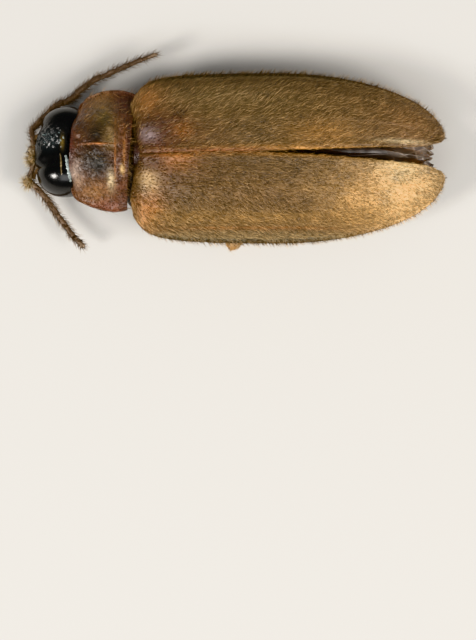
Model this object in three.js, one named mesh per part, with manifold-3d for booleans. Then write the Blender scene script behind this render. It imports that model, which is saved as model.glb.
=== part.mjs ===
// A dried male firefly at life size, in millimetres, lying on its folded legs.
// Z points up, the head lies at the low end of Y and the animal's left side is at +X.
// The forelegs are missing and the left antenna is broken short, as on the real specimen.
import * as THREE from 'three';
import { mergeVertices } from 'three/addons/utils/BufferGeometryUtils.js';
import Module from 'manifold-3d';

const wasm = await Module();
wasm.setup();

// Driving dimensions, measured along the body from the front of the head
const jointGap = 0.12; // clearance that touching parts keep
const slenderWidth = 0.46; // least thickness of feelers, shins and feet
const jointSwell = 0.24; // how much wider a joint of a feeler or foot is at its far end
const jointNeck = 0.08; // share of a joint's length that its narrow neck takes
const bodySides = 20; // corners round a section of the body
const roundness = 2.4; // power of the rounded box that those sections follow
const onLine = 0.01; // how near to a ridge's line a grid point counts as on it

// The prothorax and head are turned a little to the animal's right and rolled that way
const forebody = { pivotY: 3.8, pivotZ: 1.2, yaw: -4.5, roll: -4.5, headRoll: -4.5, headZ: 1.0 };

const eye = { x: 0.7, y: 0.88, z: 1.0, halfWidth: 0.6, halfLength: 0.76, halfHeight: 0.74 };
const capsule = { y: 0.83, z: 1.1, halfWidth: 0.9, halfLength: 0.85, halfHeight: 0.66 };
const mouth = { y: 0.12, z: 0.6, halfWidth: 0.38, halfLength: 0.34, halfHeight: 0.27 };

// Shares named "At", "Start", "End" and "Reach" run from 0 at a part's front edge to 1 at its back edge
const pronotum = {
  frontY: 1.02, length: 1.68, columns: 16, rows: 10,
  frontHalfWidth: 1.3, halfWidth: 1.75, widestAt: 0.75, hindPinch: 0.08, cornerRound: 0.3, cornerReach: 0.2,
  frontZ: 2.24, midZ: 2.5, backZ: 2.42, sideDrop: 0.8, domePower: 1.6,
  frontThickness: 0.26, backThickness: 0.42, edgeThinning: 0.3,
  ridgeHeight: 0.06, ridgeAt: 0.8, carinaStart: 0.15, carinaEnd: 0.75,
};
const scutellum = { frontY: 2.9, length: 0.52, halfWidth: 0.32, topZ: 2.44, thickness: 0.42, bulge: 0.9, bulgeAt: 0.6 };

const elytron = {
  frontY: 2.84, tipY: 11.52, thickness: 0.45, columns: 14, rows: 20, rowGather: 0.11,
  halfWidth: 2.42, shoulderPinch: 0.25, shoulderReach: 0.08, shoulderRound: 0.1, taperStart: 0.45, tipX: 0.55,
  sutureHalf: 0.06, spread: 0.2, spreadStart: 0.39, spreadPower: 1.2, closeStart: 0.9, tipHalfWidth: 0.03,
  baseZ: 2.37, crestRise: 0.56, crestAt: 0.35, apexDrop: 1.2, domePower: 2.6,
  marginZ: 1.2, marginLift: 0.22, marginLiftEnd: 0.3, tipLift: 0.1, tipLiftStart: 0.8,
  costaColumns: [4, 7, 10], costaHeight: 0.05,
};
const wing = {
  frontY: 5.2, tipY: 11.3, innerX: 0.06, thickness: 0.34, columns: 8, rows: 12, rowGather: 1.3,
  width: 1.3, tipWidth: 0.174, taperStart: 0.35, basePinch: 0.4, basePinchReach: 0.12,
  frontZ: 1.98, dropStart: 0.5, tipDrop: 0.66, dropPower: 1.3, sideDrop: 0.16,
  veinColumns: [2, 4, 6], veinHeight: 0.07,
};

// Lofted bodies: where each section lies, how wide it is and how far it reaches down and up
const prosternum = [
  { y: 1.6, halfWidth: 0.8, bottom: 1.12, top: 2.0 },
  { y: 2.2, halfWidth: 1.16, bottom: 0.96, top: 2.2 },
  { y: 2.72, halfWidth: 1.12, bottom: 1.02, top: 2.16 },
];
const mesothorax = [
  { y: 2.9, halfWidth: 0.8, bottom: 1.05, top: 1.86 },
  { y: 3.3, halfWidth: 1.25, bottom: 0.98, top: 1.96 },
  { y: 4.04, halfWidth: 1.55, bottom: 0.92, top: 2.06 },
];
const metathorax = [
  { y: 4.16, halfWidth: 1.6, bottom: 0.9, top: 2.06 },
  { y: 5.0, halfWidth: 1.76, bottom: 0.84, top: 2.1 },
  { y: 6.22, halfWidth: 1.66, bottom: 0.92, top: 1.75 },
];
const lightOrgan6 = [
  { y: 7.6, halfWidth: 1.66, bottom: 0.7, top: 1.42 },
  { y: 8.3, halfWidth: 1.7, bottom: 0.68, top: 1.4 },
  { y: 8.7, halfWidth: 1.56, bottom: 0.74, top: 1.34 },
];
const lightOrgan7 = [
  { y: 8.82, halfWidth: 1.38, bottom: 0.74, top: 1.32 },
  { y: 9.4, halfWidth: 1.34, bottom: 0.74, top: 1.26 },
  { y: 9.95, halfWidth: 1.04, bottom: 0.8, top: 1.18 },
  { y: 10.33, halfWidth: 0.52, bottom: 0.88, top: 1.1 },
];
const abdomenBase = {
  frontY: 6.34, backY: 7.48, halfWidth: 1.66, bottom: 0.76, top: 1.6, topFall: 0.04, ventrites: 4, step: 0.06,
  rimShare: 0.02,
};

// Feelers run from the face round the outside of the eyes
const antennaRoutes = {
  right: {
    scape: [[-0.4, -0.1, 1.0], [-0.78, -0.17, 0.9]],
    flagellum: [[-0.98, -0.14, 0.76], [-1.34, 0.1, 0.56], [-1.6, 0.46, 0.45], [-1.98, 1.18, 0.5],
      [-2.44, 1.97, 0.65], [-2.77, 2.75, 0.8], [-3.0, 3.43, 0.95]],
    lengths: 3, joints: 9, tip: 0.5,
  },
  left: {
    scape: [[0.02, -0.1, 1.0], [0.44, -0.22, 0.9]],
    flagellum: [[0.66, -0.18, 0.76], [1.0, 0.1, 0.56], [1.4, 0.5, 0.5], [2.14, 1.1, 0.6], [2.39, 1.42, 0.7]],
    lengths: 1, joints: 5, tip: 0.85,
  },
};
const scapeWidths = { near: 0.39, far: 0.48 };

// Legs lie folded under the body: the tibiae and tarsi on the floor, the femora above them
const legs = {
  middle_left: {
    coxa: [0.42, 4.42, 0.74], femur: [[0.44, 4.2, 0.6], [1.15, 3.66, 0.66], [1.74, 3.2, 0.62]],
    tibia: [[1.78, 3.22, 0.2], [1.48, 4.05, 0.23], [1.11, 4.86, 0.18]],
    tarsus: [[1.13, 5.0, 0.19], [1.52, 5.3, 0.19], [1.58, 5.6, 0.19], [1.42, 5.98, 0.19]],
    femurWidth: 0.64, coxaSize: [0.3, 0.36, 0.3],
  },
  middle_right: {
    coxa: [-0.42, 4.42, 0.74], femur: [[-0.44, 4.16, 0.6], [-1.05, 3.4, 0.66], [-1.53, 2.8, 0.62]],
    tibia: [[-1.57, 2.78, 0.2], [-1.26, 3.7, 0.23], [-0.92, 4.58, 0.18]],
    tarsus: [[-0.9, 4.74, 0.19], [-1.19, 5.08, 0.19], [-1.3, 5.42, 0.19], [-1.17, 5.82, 0.19]],
    femurWidth: 0.64, coxaSize: [0.3, 0.36, 0.3],
  },
  hind_left: {
    coxa: [0.7, 6.3, 0.72], femur: [[0.64, 6.14, 0.66], [1.5, 5.88, 0.74], [2.34, 5.62, 0.74]],
    tibia: [[2.26, 5.8, 0.3], [1.57, 6.34, 0.23], [0.64, 6.9, 0.18]],
    tarsus: [[0.65, 7.1, 0.19], [1.11, 7.46, 0.19], [1.32, 7.86, 0.19], [1.28, 8.46, 0.19]],
    femurWidth: 0.56, coxaSize: [0.64, 0.3, 0.26],
  },
  hind_right: {
    coxa: [-0.7, 6.3, 0.72], femur: [[-0.66, 6.16, 0.66], [-1.5, 6.06, 0.74], [-2.34, 5.94, 0.74]],
    tibia: [[-2.28, 6.04, 0.3], [-1.84, 6.88, 0.23], [-1.2, 7.7, 0.18]],
    tarsus: [[-1.2, 7.88, 0.19], [-1.46, 8.42, 0.19], [-1.28, 8.98, 0.19], [-1.02, 9.5, 0.19]],
    femurWidth: 0.56, coxaSize: [0.64, 0.3, 0.26],
  },
};
const femurShape = { ends: 0.74, flat: 0.8, swellStart: 0.15 };
const tibiaWidths = { near: 0.48, far: 0.44 };
const tarsus = { width: 0.44, joints: 5, tip: 0.62, flat: 0.98 };
const claw = { length: 0.22, radius: 0.08, splay: 28, sunk: 0.06, lowered: 0.6 };

// The left one of each pair of mouthparts
const palp = { route: [[0.3, 0.3, 0.42], [0.44, 0.1, 0.36], [0.6, -0.08, 0.34]], width: 0.3, swell: 0.16 };
const mandible = {
  route: [[0.26, 0.17, 0.5], [0.24, -0.14, 0.44], [0.04, -0.28, 0.43]], width: 0.2, tipWidth: 0.07, crossing: 0.06,
};
const floorBlock = { size: [20, 30, 2], centre: [0, 6, -1] };

// Helpers on points and curves

const vector = (point) => new THREE.Vector3(...point);
const halfCosine = (t) => 0.5 - 0.5 * Math.cos(Math.PI * t);
const past = (value, start, end) => Math.max(0, (value - start) / (end - start));
const between = (start, end, t) => start + (end - start) * t;
const mirrored = (route, side) => route.map(([x, y, z]) => [side * x, y, z]);

// Geometry from points and faces, turned so that its faces point out.
function shellOf(points, faces) {
  let volume = 0;
  for (let i = 0; i < faces.length; i += 3) {
    const [a, b, c] = faces.slice(i, i + 3).map((index) => points[index]);
    volume += a.dot(new THREE.Vector3().crossVectors(b, c));
  }
  const geometry = new THREE.BufferGeometry().setFromPoints(points);
  geometry.setIndex(volume < 0 ? faces.slice().reverse() : faces);
  return geometry;
}

// A closed skin over rings of equal length, with a fan over each end.
function skinOver(rings) {
  const count = rings[0].length;
  const points = rings.flat();
  const faces = [];
  for (let i = 0; i + 1 < rings.length; i++) {
    for (let j = 0; j < count; j++) {
      const a = i * count + j;
      const b = i * count + (j + 1) % count;
      faces.push(a, b, b + count, a, b + count, a + count);
    }
  }
  for (const first of [0, (rings.length - 1) * count]) {
    const end = points.length;
    const ring = points.slice(first, first + count);
    points.push(ring.reduce((sum, p) => sum.add(p), new THREE.Vector3()).divideScalar(count));
    for (let j = 0; j < count; j++) {
      const pair = [first + j, first + (j + 1) % count];
      faces.push(end, ...(first === 0 ? pair.reverse() : pair));
    }
  }
  return shellOf(points, faces);
}

// An ellipsoid about a centre.
function ball(centre, radii, columns = 16, rows = 10) {
  return new THREE.SphereGeometry(1, columns, rows)
    .rotateX(Math.PI / 2).scale(...radii).translate(...centre);
}

// A tapering tube along a smooth route. width(t) is its thickness across, and flat its height over its width.
function tube(route, width, { sides = 8, steps = 10, flat = 1, from = 0, to = 1 } = {}) {
  const curve = new THREE.CatmullRomCurve3(route.map(vector));
  const rings = [];
  for (let i = 0; i <= steps; i++) {
    const t = from + (to - from) * i / steps;
    const centre = curve.getPointAt(t);
    const ahead = curve.getTangentAt(t);
    const aside = new THREE.Vector3().crossVectors(ahead, new THREE.Vector3(0, 0, 1)).normalize();
    const lift = new THREE.Vector3().crossVectors(aside, ahead);
    const ring = [];
    for (let j = 0; j < sides; j++) {
      const angle = 2 * Math.PI * (j + 0.5) / sides;
      ring.push(centre.clone()
        .addScaledVector(aside, width(t) / 2 * Math.cos(angle))
        .addScaledVector(lift, width(t) / 2 * flat * Math.sin(angle)));
    }
    rings.push(ring);
  }
  return skinOver(rings);
}

// A body lofted through level sections, each a rounded box about its own middle height.
function loft(sections, steps = 8) {
  const curve = new THREE.CatmullRomCurve3(sections.map((s) => new THREE.Vector3(s.halfWidth, s.y, 0)));
  const heights = new THREE.CatmullRomCurve3(sections.map((s) => new THREE.Vector3(s.bottom, s.y, s.top)));
  const rings = [];
  for (let i = 0; i <= steps; i++) {
    const plan = curve.getPoint(i / steps);
    const side = heights.getPoint(i / steps);
    rings.push(roundedSection(plan.y, plan.x, side.x, side.z));
  }
  return skinOver(rings);
}

function roundedSection(y, halfWidth, bottom, top) {
  const ring = [];
  for (let j = 0; j < bodySides; j++) {
    const angle = 2 * Math.PI * j / bodySides;
    const across = Math.sign(Math.cos(angle)) * Math.abs(Math.cos(angle)) ** (2 / roundness);
    const along = Math.sign(Math.sin(angle)) * Math.abs(Math.sin(angle)) ** (2 / roundness);
    ring.push(new THREE.Vector3(halfWidth * across, y, (top + bottom) / 2 + (top - bottom) / 2 * along));
  }
  return ring;
}

// A curved plate: surface(u, v) gives its outer face, and its inner face lies thickness(u, v) under it.
// facing is 1 where u, v and the outward normal are right-handed, else -1. Both faces are split alike.
function plate(columns, rows, surface, thickness, facing = 1) {
  const outer = [];
  const inner = [];
  const reach = 0.004;
  for (let i = 0; i <= rows; i++) {
    for (let j = 0; j <= columns; j++) {
      const u = j / columns;
      const v = i / rows;
      const point = surface(u, v);
      const across = surface(Math.min(1, u + reach), v).sub(surface(Math.max(0, u - reach), v));
      const along = surface(u, Math.min(1, v + reach)).sub(surface(u, Math.max(0, v - reach)));
      const normal = across.cross(along).normalize().multiplyScalar(facing);
      outer.push(point);
      inner.push(point.clone().addScaledVector(normal, -thickness(u, v)));
    }
  }
  const faces = [];
  const wide = columns + 1;
  const below = outer.length;
  const quad = (a, b, c, d) => faces.push(a, b, c, a, c, d);
  for (let i = 0; i < rows; i++) {
    for (let j = 0; j < columns; j++) {
      const a = i * wide + j;
      quad(a, a + 1, a + wide + 1, a + wide);
      faces.push(a + below, a + wide + 1 + below, a + 1 + below);
      faces.push(a + below, a + wide + below, a + wide + 1 + below);
    }
    const left = i * wide;
    const right = left + columns;
    quad(left + below, left, left + wide, left + wide + below);
    quad(right, right + below, right + wide + below, right + wide);
  }
  for (let j = 0; j < columns; j++) {
    const back = rows * wide + j;
    quad(j + 1, j, j + below, j + 1 + below);
    quad(back, back + 1, back + 1 + below, back + below);
  }
  return shellOf([...outer, ...inner], faces);
}

// Joining and cutting

function welded(geometry) {
  const bare = geometry.clone();
  bare.deleteAttribute('normal');
  bare.deleteAttribute('uv');
  return mergeVertices(bare, 1e-5);
}

function toSolid(geometry) {
  const { attributes, index } = welded(geometry);
  return new wasm.Manifold(new wasm.Mesh({
    numProp: 3,
    vertProperties: new Float32Array(attributes.position.array),
    triVerts: new Uint32Array(index.array),
  }));
}

// Geometry of the largest closed surface of a solid.
function toGeometry(solid) {
  const pieces = solid.decompose().sort((a, b) => b.volume() - a.volume());
  const mesh = pieces[0].getMesh();
  const geometry = new THREE.BufferGeometry();
  geometry.setAttribute('position', new THREE.BufferAttribute(new Float32Array(mesh.vertProperties), 3));
  geometry.setIndex(new THREE.BufferAttribute(new Uint32Array(mesh.triVerts), 1));
  return geometry;
}

function join(...geometries) {
  return toGeometry(geometries.map(toSolid).reduce((sum, solid) => sum.add(solid)));
}

// The same surface moved out along its normals.
function swollen(geometry, distance) {
  const grown = welded(geometry);
  grown.computeVertexNormals();
  const { position, normal } = grown.attributes;
  const point = new THREE.Vector3();
  const out = new THREE.Vector3();
  for (let i = 0; i < position.count; i++) {
    point.fromBufferAttribute(position, i);
    out.fromBufferAttribute(normal, i);
    point.addScaledVector(out, distance);
    position.setXYZ(i, point.x, point.y, point.z);
  }
  return grown;
}

// A part cut back so that it stays clear of its neighbours.
function clearOf(geometry, ...neighbours) {
  const cutters = neighbours.map((neighbour) => toSolid(swollen(neighbour, jointGap)));
  return toGeometry(cutters.reduce((rest, cutter) => rest.subtract(cutter), toSolid(geometry)));
}

// A part cut flat where it reaches the floor.
function onFloor(geometry) {
  const block = new THREE.BoxGeometry(...floorBlock.size).translate(...floorBlock.centre);
  return toGeometry(toSolid(geometry).subtract(toSolid(block)));
}

// Forebody

function turned(geometry, extraRoll = 0) {
  const { pivotY, pivotZ, yaw, roll, headZ } = forebody;
  const radians = THREE.MathUtils.degToRad;
  return geometry.clone()
    .translate(0, 0, -headZ).rotateY(radians(extraRoll)).translate(0, 0, headZ)
    .translate(0, -pivotY, -pivotZ).rotateY(radians(roll)).rotateZ(radians(yaw)).translate(0, pivotY, pivotZ);
}

const onHead = (geometry) => turned(geometry, forebody.headRoll);

function makeEye(side) {
  return onHead(ball([side * eye.x, eye.y, eye.z], [eye.halfWidth, eye.halfLength, eye.halfHeight], 18, 12));
}

// Half the width of the pronotum at t, from 0 at its front edge to 1 at its back edge.
function pronotumHalfWidth(t) {
  const { frontHalfWidth, halfWidth, widestAt, hindPinch, cornerRound, cornerReach } = pronotum;
  const widening = (halfWidth - frontHalfWidth) * Math.sin(Math.PI / 2 * Math.min(1, t / widestAt));
  return frontHalfWidth + widening - cornerRound * (1 - Math.min(1, t / cornerReach)) ** 2
    - hindPinch * past(t, widestAt, 1) ** 2;
}

function pronotumSurface(u, v) {
  const { frontY, length, frontZ, midZ, backZ, sideDrop, domePower } = pronotum;
  const { ridgeHeight, ridgeAt, carinaStart, carinaEnd } = pronotum;
  const across = 2 * u - 1;
  const crest = v < 0.5 ? between(frontZ, midZ, halfCosine(2 * v)) : between(midZ, backZ, halfCosine(2 * v - 1));
  const carina = Math.abs(across) < onLine && v > carinaStart && v < carinaEnd ? ridgeHeight : 0;
  const ridge = Math.abs(v - ridgeAt) < onLine ? ridgeHeight * (1 - across ** 2) : 0;
  return new THREE.Vector3(
    across * pronotumHalfWidth(v),
    frontY + length * v,
    crest - sideDrop * halfCosine(Math.abs(across) ** domePower) + Math.max(carina, ridge),
  );
}

function pronotumThickness(u, v) {
  const { frontThickness, backThickness, edgeThinning } = pronotum;
  return between(frontThickness, backThickness, v) * (1 - edgeThinning * (2 * u - 1) ** 2);
}

// Elytra and wings

const elytronLength = elytron.tipY - elytron.frontY;

// Half the width across both elytra at s, from 0 at their base to 1 at their tips.
function elytraHalfWidth(s) {
  const { halfWidth, tipX, shoulderPinch, shoulderReach, taperStart } = elytron;
  const arc = Math.sqrt(Math.max(0, 1 - past(s, taperStart, 1) ** 2));
  return between(tipX, halfWidth, arc) * (1 - shoulderPinch * Math.exp(-s / shoulderReach));
}

// How far the inner edge stands from the midline: closed at the suture, spread towards the tips.
function elytronInner(s) {
  const { sutureHalf, spread, spreadStart, spreadPower, closeStart, tipX, tipHalfWidth } = elytron;
  const opening = sutureHalf + spread * past(s, spreadStart, 1) ** spreadPower;
  return opening + (tipX - tipHalfWidth - sutureHalf - spread) * past(s, closeStart, 1) ** 3;
}

function elytronHeight(s, across) {
  const { baseZ, crestRise, crestAt, taperStart, apexDrop, domePower } = elytron;
  const { marginZ, marginLift, marginLiftEnd, tipLift, tipLiftStart } = elytron;
  const crest = baseZ + crestRise * Math.sin(Math.PI / 2 * Math.min(1, s / crestAt))
    - apexDrop * past(s, taperStart, 1) ** 2;
  const margin = marginZ + marginLift * (1 - Math.min(1, s / marginLiftEnd)) ** 2
    + tipLift * past(s, tipLiftStart, 1) ** 2;
  return between(margin, crest, Math.sqrt(Math.max(0, 1 - across ** domePower)));
}

function elytronSurface(side) {
  return (u, v) => {
    // the rows lie closer together at both ends
    const s = v - elytron.rowGather * Math.sin(2 * Math.PI * v);
    const outer = elytraHalfWidth(s);
    const x = between(elytronInner(s), outer, Math.sin(Math.PI / 2 * u));
    const across = Math.min(1, x / outer);
    const onCosta = elytron.costaColumns.some((column) => Math.abs(column - u * elytron.columns) < onLine);
    const fade = Math.sqrt(Math.sin(Math.PI * v));
    return new THREE.Vector3(
      side * x,
      elytron.frontY + elytronLength * s + elytron.shoulderRound * across ** 4 * (1 - s) ** 8,
      elytronHeight(s, across) + (onCosta ? elytron.costaHeight * fade : 0),
    );
  };
}

function makeElytron(side, scutellumShape) {
  const whole = plate(elytron.columns, elytron.rows, elytronSurface(side), () => elytron.thickness, side);
  return clearOf(whole, scutellumShape);
}

function wingSurface(side) {
  const { taperStart, basePinch, basePinchReach, dropStart, tipDrop, dropPower } = wing;
  return (u, v) => {
    // the rows lie closer together towards the tip
    const s = 1 - (1 - v) ** wing.rowGather;
    const width = between(wing.tipWidth, wing.width, Math.sqrt(1 - past(s, taperStart, 1) ** 2))
      * (1 - basePinch * Math.exp(-s / basePinchReach));
    const onVein = wing.veinColumns.some((column) => Math.abs(column - u * wing.columns) < onLine);
    return new THREE.Vector3(
      side * (wing.innerX + width * u),
      between(wing.frontY, wing.tipY, s),
      wing.frontZ - tipDrop * past(s, dropStart, 1) ** dropPower - wing.sideDrop * u ** 2
        + (onVein ? wing.veinHeight : 0),
    );
  };
}

function makeScutellum() {
  const { frontY, length, halfWidth, topZ, thickness, bulge, bulgeAt } = scutellum;
  const shield = new THREE.Shape();
  shield.moveTo(-halfWidth, 0);
  shield.lineTo(halfWidth, 0);
  shield.quadraticCurveTo(halfWidth * bulge, length * bulgeAt, 0, length);
  shield.quadraticCurveTo(-halfWidth * bulge, length * bulgeAt, -halfWidth, 0);
  return new THREE.ExtrudeGeometry(shield, { depth: thickness, bevelEnabled: false, curveSegments: 5 })
    .translate(0, frontY, topZ - thickness);
}

// Abdomen

// The telescoped front ventrites: each one's hind rim stands out over the next.
function makeAbdomenBase() {
  const { frontY, backY, halfWidth, bottom, top, topFall, ventrites, step, rimShare } = abdomenBase;
  const rings = [];
  for (let i = 0; i < ventrites; i++) {
    for (const [reach, fall] of [[rimShare, step], [1 - rimShare, 0]]) {
      const y = between(frontY, backY, (i + reach) / ventrites);
      rings.push(roundedSection(y, halfWidth - fall, bottom + fall, top - topFall * i - fall));
    }
  }
  return skinOver(rings);
}

// Feelers, legs and mouthparts

// Thickness along a jointed limb: each joint widens towards its far end.
function jointed(width, joints, tip) {
  return (t) => {
    // a ring that falls on the start of a joint belongs to the wide end of the one before
    const within = (t * joints) % 1;
    const place = within < jointNeck && t > jointNeck / joints ? 1 : within;
    return width * (1 + jointSwell * (place - 0.5)) * between(1, tip, t ** 3);
  };
}

function makeFlagellum({ flagellum: route, lengths, joints, tip }, index) {
  const width = jointed(slenderWidth, joints, tip);
  const share = 1 / lengths;
  const curve = new THREE.CatmullRomCurve3(route.map(vector));
  const halfGap = jointGap / 2 / curve.getLength();
  const from = index * share + (index > 0 ? halfGap : 0);
  const to = (index + 1) * share - (index + 1 < lengths ? halfGap : 0);
  return tube(route, width, { steps: Math.ceil(3 * joints / lengths), from, to });
}

function makePalp(side) {
  const width = (t) => palp.width + palp.swell * Math.sin(Math.PI * t);
  return onHead(tube(mirrored(palp.route, side), width, { steps: 6 }));
}

// The labrum and the hairy lower lip as one lump, with a pair of curved mandibles that cross in front.
function makeMouth() {
  const { y, z, halfWidth, halfLength, halfHeight } = mouth;
  const lips = ball([0, y, z], [halfWidth, halfLength, halfHeight], 12, 8);
  const mandibles = [-1, 1].map((side) => {
    const route = mirrored(mandible.route, side);
    route.at(-1)[2] -= side * mandible.crossing;
    return tube(route, (t) => between(mandible.width, mandible.tipWidth, t), { sides: 6, steps: 5 });
  });
  return onHead(join(lips, ...mandibles));
}

function makeFemur(route, width) {
  const { ends, flat, swellStart } = femurShape;
  const swell = (t) => between(ends, 1, Math.sin(Math.PI * between(swellStart, 1, t)));
  return tube(route, (t) => width * swell(t), { sides: 10, steps: 7, flat });
}

function makeTarsus(route) {
  const { width, joints, tip, flat } = tarsus;
  const foot = tube(route, jointed(width, joints, tip), { steps: joints * 3, flat });
  const end = vector(route.at(-1));
  const heading = end.clone().sub(vector(route.at(-2)));
  const claws = [-1, 1].map((side) => {
    const turn = Math.atan2(heading.y, heading.x) + side * THREE.MathUtils.degToRad(claw.splay);
    return new THREE.ConeGeometry(claw.radius, claw.length, 6)
      .translate(0, claw.length / 2 - claw.sunk, 0).rotateZ(turn - Math.PI / 2)
      .translate(end.x, end.y, end.z * claw.lowered);
  });
  return join(foot, ...claws);
}

// The finished parts, each in the whole animal's own place

const shapes = {};
shapes.eye_left = makeEye(1);
shapes.eye_right = makeEye(-1);
shapes.pronotum = clearOf(
  turned(plate(pronotum.columns, pronotum.rows, pronotumSurface, pronotumThickness)),
  shapes.eye_left, shapes.eye_right,
);
shapes.head_capsule = clearOf(
  onHead(ball([0, capsule.y, capsule.z], [capsule.halfWidth, capsule.halfLength, capsule.halfHeight], 18, 12)),
  shapes.eye_left, shapes.eye_right, shapes.pronotum,
);
shapes.mesothorax = loft(mesothorax);
shapes.metathorax = loft(metathorax);
shapes.prosternum = clearOf(
  turned(loft(prosternum)),
  shapes.pronotum, shapes.head_capsule, shapes.eye_left, shapes.eye_right, shapes.mesothorax,
);
shapes.mouthparts = clearOf(makeMouth(), shapes.head_capsule, shapes.eye_left, shapes.eye_right);
for (const [name, side] of [['left', 1], ['right', -1]]) {
  shapes[`palp_${name}`] = clearOf(makePalp(side), shapes.mouthparts, shapes.eye_left, shapes.eye_right);
  const antenna = antennaRoutes[name];
  shapes[`antenna_${name}_scape`] = clearOf(
    tube(antenna.scape, (t) => between(scapeWidths.near, scapeWidths.far, t), { steps: 4 }),
    shapes.head_capsule, shapes.eye_left, shapes.eye_right, shapes.mouthparts, shapes[`palp_${name}`],
  );
  for (let index = 0; index < antenna.lengths; index++) {
    const suffix = antenna.lengths > 1 ? `_${index + 1}` : '';
    const length = makeFlagellum(antenna, index);
    shapes[`antenna_${name}_flagellum${suffix}`] = index > 0 ? length : clearOf(
      length, shapes[`antenna_${name}_scape`], shapes.eye_left, shapes.eye_right, shapes[`palp_${name}`],
    );
  }
}
shapes.scutellum = clearOf(makeScutellum(), shapes.mesothorax, shapes.pronotum);
for (const [name, side] of [['left', 1], ['right', -1]]) {
  shapes[`elytron_${name}`] = makeElytron(side, shapes.scutellum);
  shapes[`hind_wing_${name}`] = clearOf(
    plate(wing.columns, wing.rows, wingSurface(side), () => wing.thickness, side), shapes.metathorax,
  );
}
shapes.abdomen_base = makeAbdomenBase();
shapes.light_organ_6 = loft(lightOrgan6);
shapes.light_organ_7 = loft(lightOrgan7, 10);
for (const [name, leg] of Object.entries(legs)) {
  const coxa = clearOf(
    ball(leg.coxa, leg.coxaSize, 12, 8),
    shapes.mesothorax, shapes.metathorax, shapes.abdomen_base,
  );
  const femur = clearOf(
    makeFemur(leg.femur, leg.femurWidth), coxa, shapes.mesothorax, shapes.metathorax, shapes.prosternum,
  );
  const shin = tube(leg.tibia, (t) => between(tibiaWidths.near, tibiaWidths.far, t), { steps: 6 });
  const tibia = onFloor(clearOf(shin, femur));
  shapes[`coxa_${name}`] = coxa;
  shapes[`femur_${name}`] = femur;
  shapes[`tibia_${name}`] = tibia;
  shapes[`tarsus_${name}`] = onFloor(clearOf(makeTarsus(leg.tarsus), tibia));
}

// Finishes

const finishes = {
  eye: { color: 0x232323, roughness: 0.3 },
  head: { color: 0x171514, roughness: 0.28 },
  mouth: { color: 0x6d4f35, roughness: 0.6 },
  palp: { color: 0x9a7a55, roughness: 0.6 },
  antenna: { color: 0x5a4432, roughness: 0.8 },
  pronotum: { color: 0x6b3f2b, roughness: 0.45 },
  prosternum: { color: 0x4a2c1c, roughness: 0.35 },
  scutellum: { color: 0x5a2f22, roughness: 0.4 },
  mesothorax: { color: 0x6b4a2c, roughness: 0.55 },
  metathorax: { color: 0x7a5733, roughness: 0.55 },
  elytron: { color: 0x8a6534, roughness: 0.5 },
  hind_wing: { color: 0x3a2b26, roughness: 0.4 },
  abdomen: { color: 0xa87a48, roughness: 0.55 },
  light_organ_6: { color: 0xc9a976, roughness: 0.5 },
  light_organ_7: { color: 0xecd9a0, roughness: 0.5 },
  coxa: { color: 0x8a6038, roughness: 0.55 },
  femur: { color: 0xa97b45, roughness: 0.55 },
  tibia: { color: 0xb48a50, roughness: 0.55 },
  tarsus: { color: 0x3a281d, roughness: 0.6 },
};

const specimen = new THREE.Group();
for (const [name, geometry] of Object.entries(shapes)) {
  const finish = Object.keys(finishes).find((key) => name.startsWith(key));
  const mesh = new THREE.Mesh(geometry, new THREE.MeshStandardMaterial({ ...finishes[finish], metalness: 0 }));
  mesh.name = name;
  geometry.computeBoundingBox();
  const pivot = geometry.boundingBox.getCenter(new THREE.Vector3());
  geometry.translate(-pivot.x, -pivot.y, -pivot.z);
  mesh.position.copy(pivot);
  specimen.add(mesh);
}

// The origin is on the floor under the middle of the whole animal's box
const box = new THREE.Box3().setFromObject(specimen);
const middle = box.getCenter(new THREE.Vector3());
specimen.position.set(-middle.x, -middle.y, -box.min.z);

export default specimen;
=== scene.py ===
import math

import bpy
import numpy as np
from mathutils import Matrix, Vector


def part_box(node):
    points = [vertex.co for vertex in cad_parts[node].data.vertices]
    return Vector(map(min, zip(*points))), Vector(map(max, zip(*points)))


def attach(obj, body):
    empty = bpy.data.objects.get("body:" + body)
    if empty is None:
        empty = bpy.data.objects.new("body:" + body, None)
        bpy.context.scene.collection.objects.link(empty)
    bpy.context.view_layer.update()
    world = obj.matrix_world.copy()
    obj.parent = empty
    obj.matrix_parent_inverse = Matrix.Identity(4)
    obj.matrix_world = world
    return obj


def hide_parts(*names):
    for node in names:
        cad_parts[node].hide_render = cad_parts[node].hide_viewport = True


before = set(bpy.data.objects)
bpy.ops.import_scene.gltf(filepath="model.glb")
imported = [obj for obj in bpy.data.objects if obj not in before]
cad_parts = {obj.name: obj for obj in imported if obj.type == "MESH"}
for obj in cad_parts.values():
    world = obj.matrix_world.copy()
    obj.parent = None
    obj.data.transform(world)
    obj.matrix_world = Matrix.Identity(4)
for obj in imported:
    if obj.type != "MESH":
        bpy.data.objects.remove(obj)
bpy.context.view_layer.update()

mm = 0.001

# The body's own axes: x to the animal's left, y from the front of its head to its tail, z up
metathoraxStart = 4.16  # from the front of the head
bodyOrigin = np.array([
    (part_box("elytron_left")[0].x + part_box("elytron_right")[1].x) / 2,
    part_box("metathorax")[0].y - metathoraxStart * mm,
    0.0,
])
sides = {"left": 1, "right": -1}


def toFrame(points):
    return np.asarray(points, float) * mm + bodyOrigin


def linearColour(code):
    parts = [int(code[i:i + 2], 16) / 255 for i in (1, 3, 5)]
    return [p / 12.92 if p <= 0.04045 else ((p + 0.055) / 1.055) ** 2.4 for p in parts] + [1.0]


def fillInputs(tree, node, inputs):
    # an input that is a socket is linked, any other is set on the node's own socket
    for key, value in inputs.items():
        if isinstance(value, bpy.types.NodeSocket):
            tree.links.new(value, node.inputs[key])
        else:
            node.inputs[key].default_value = value


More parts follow.
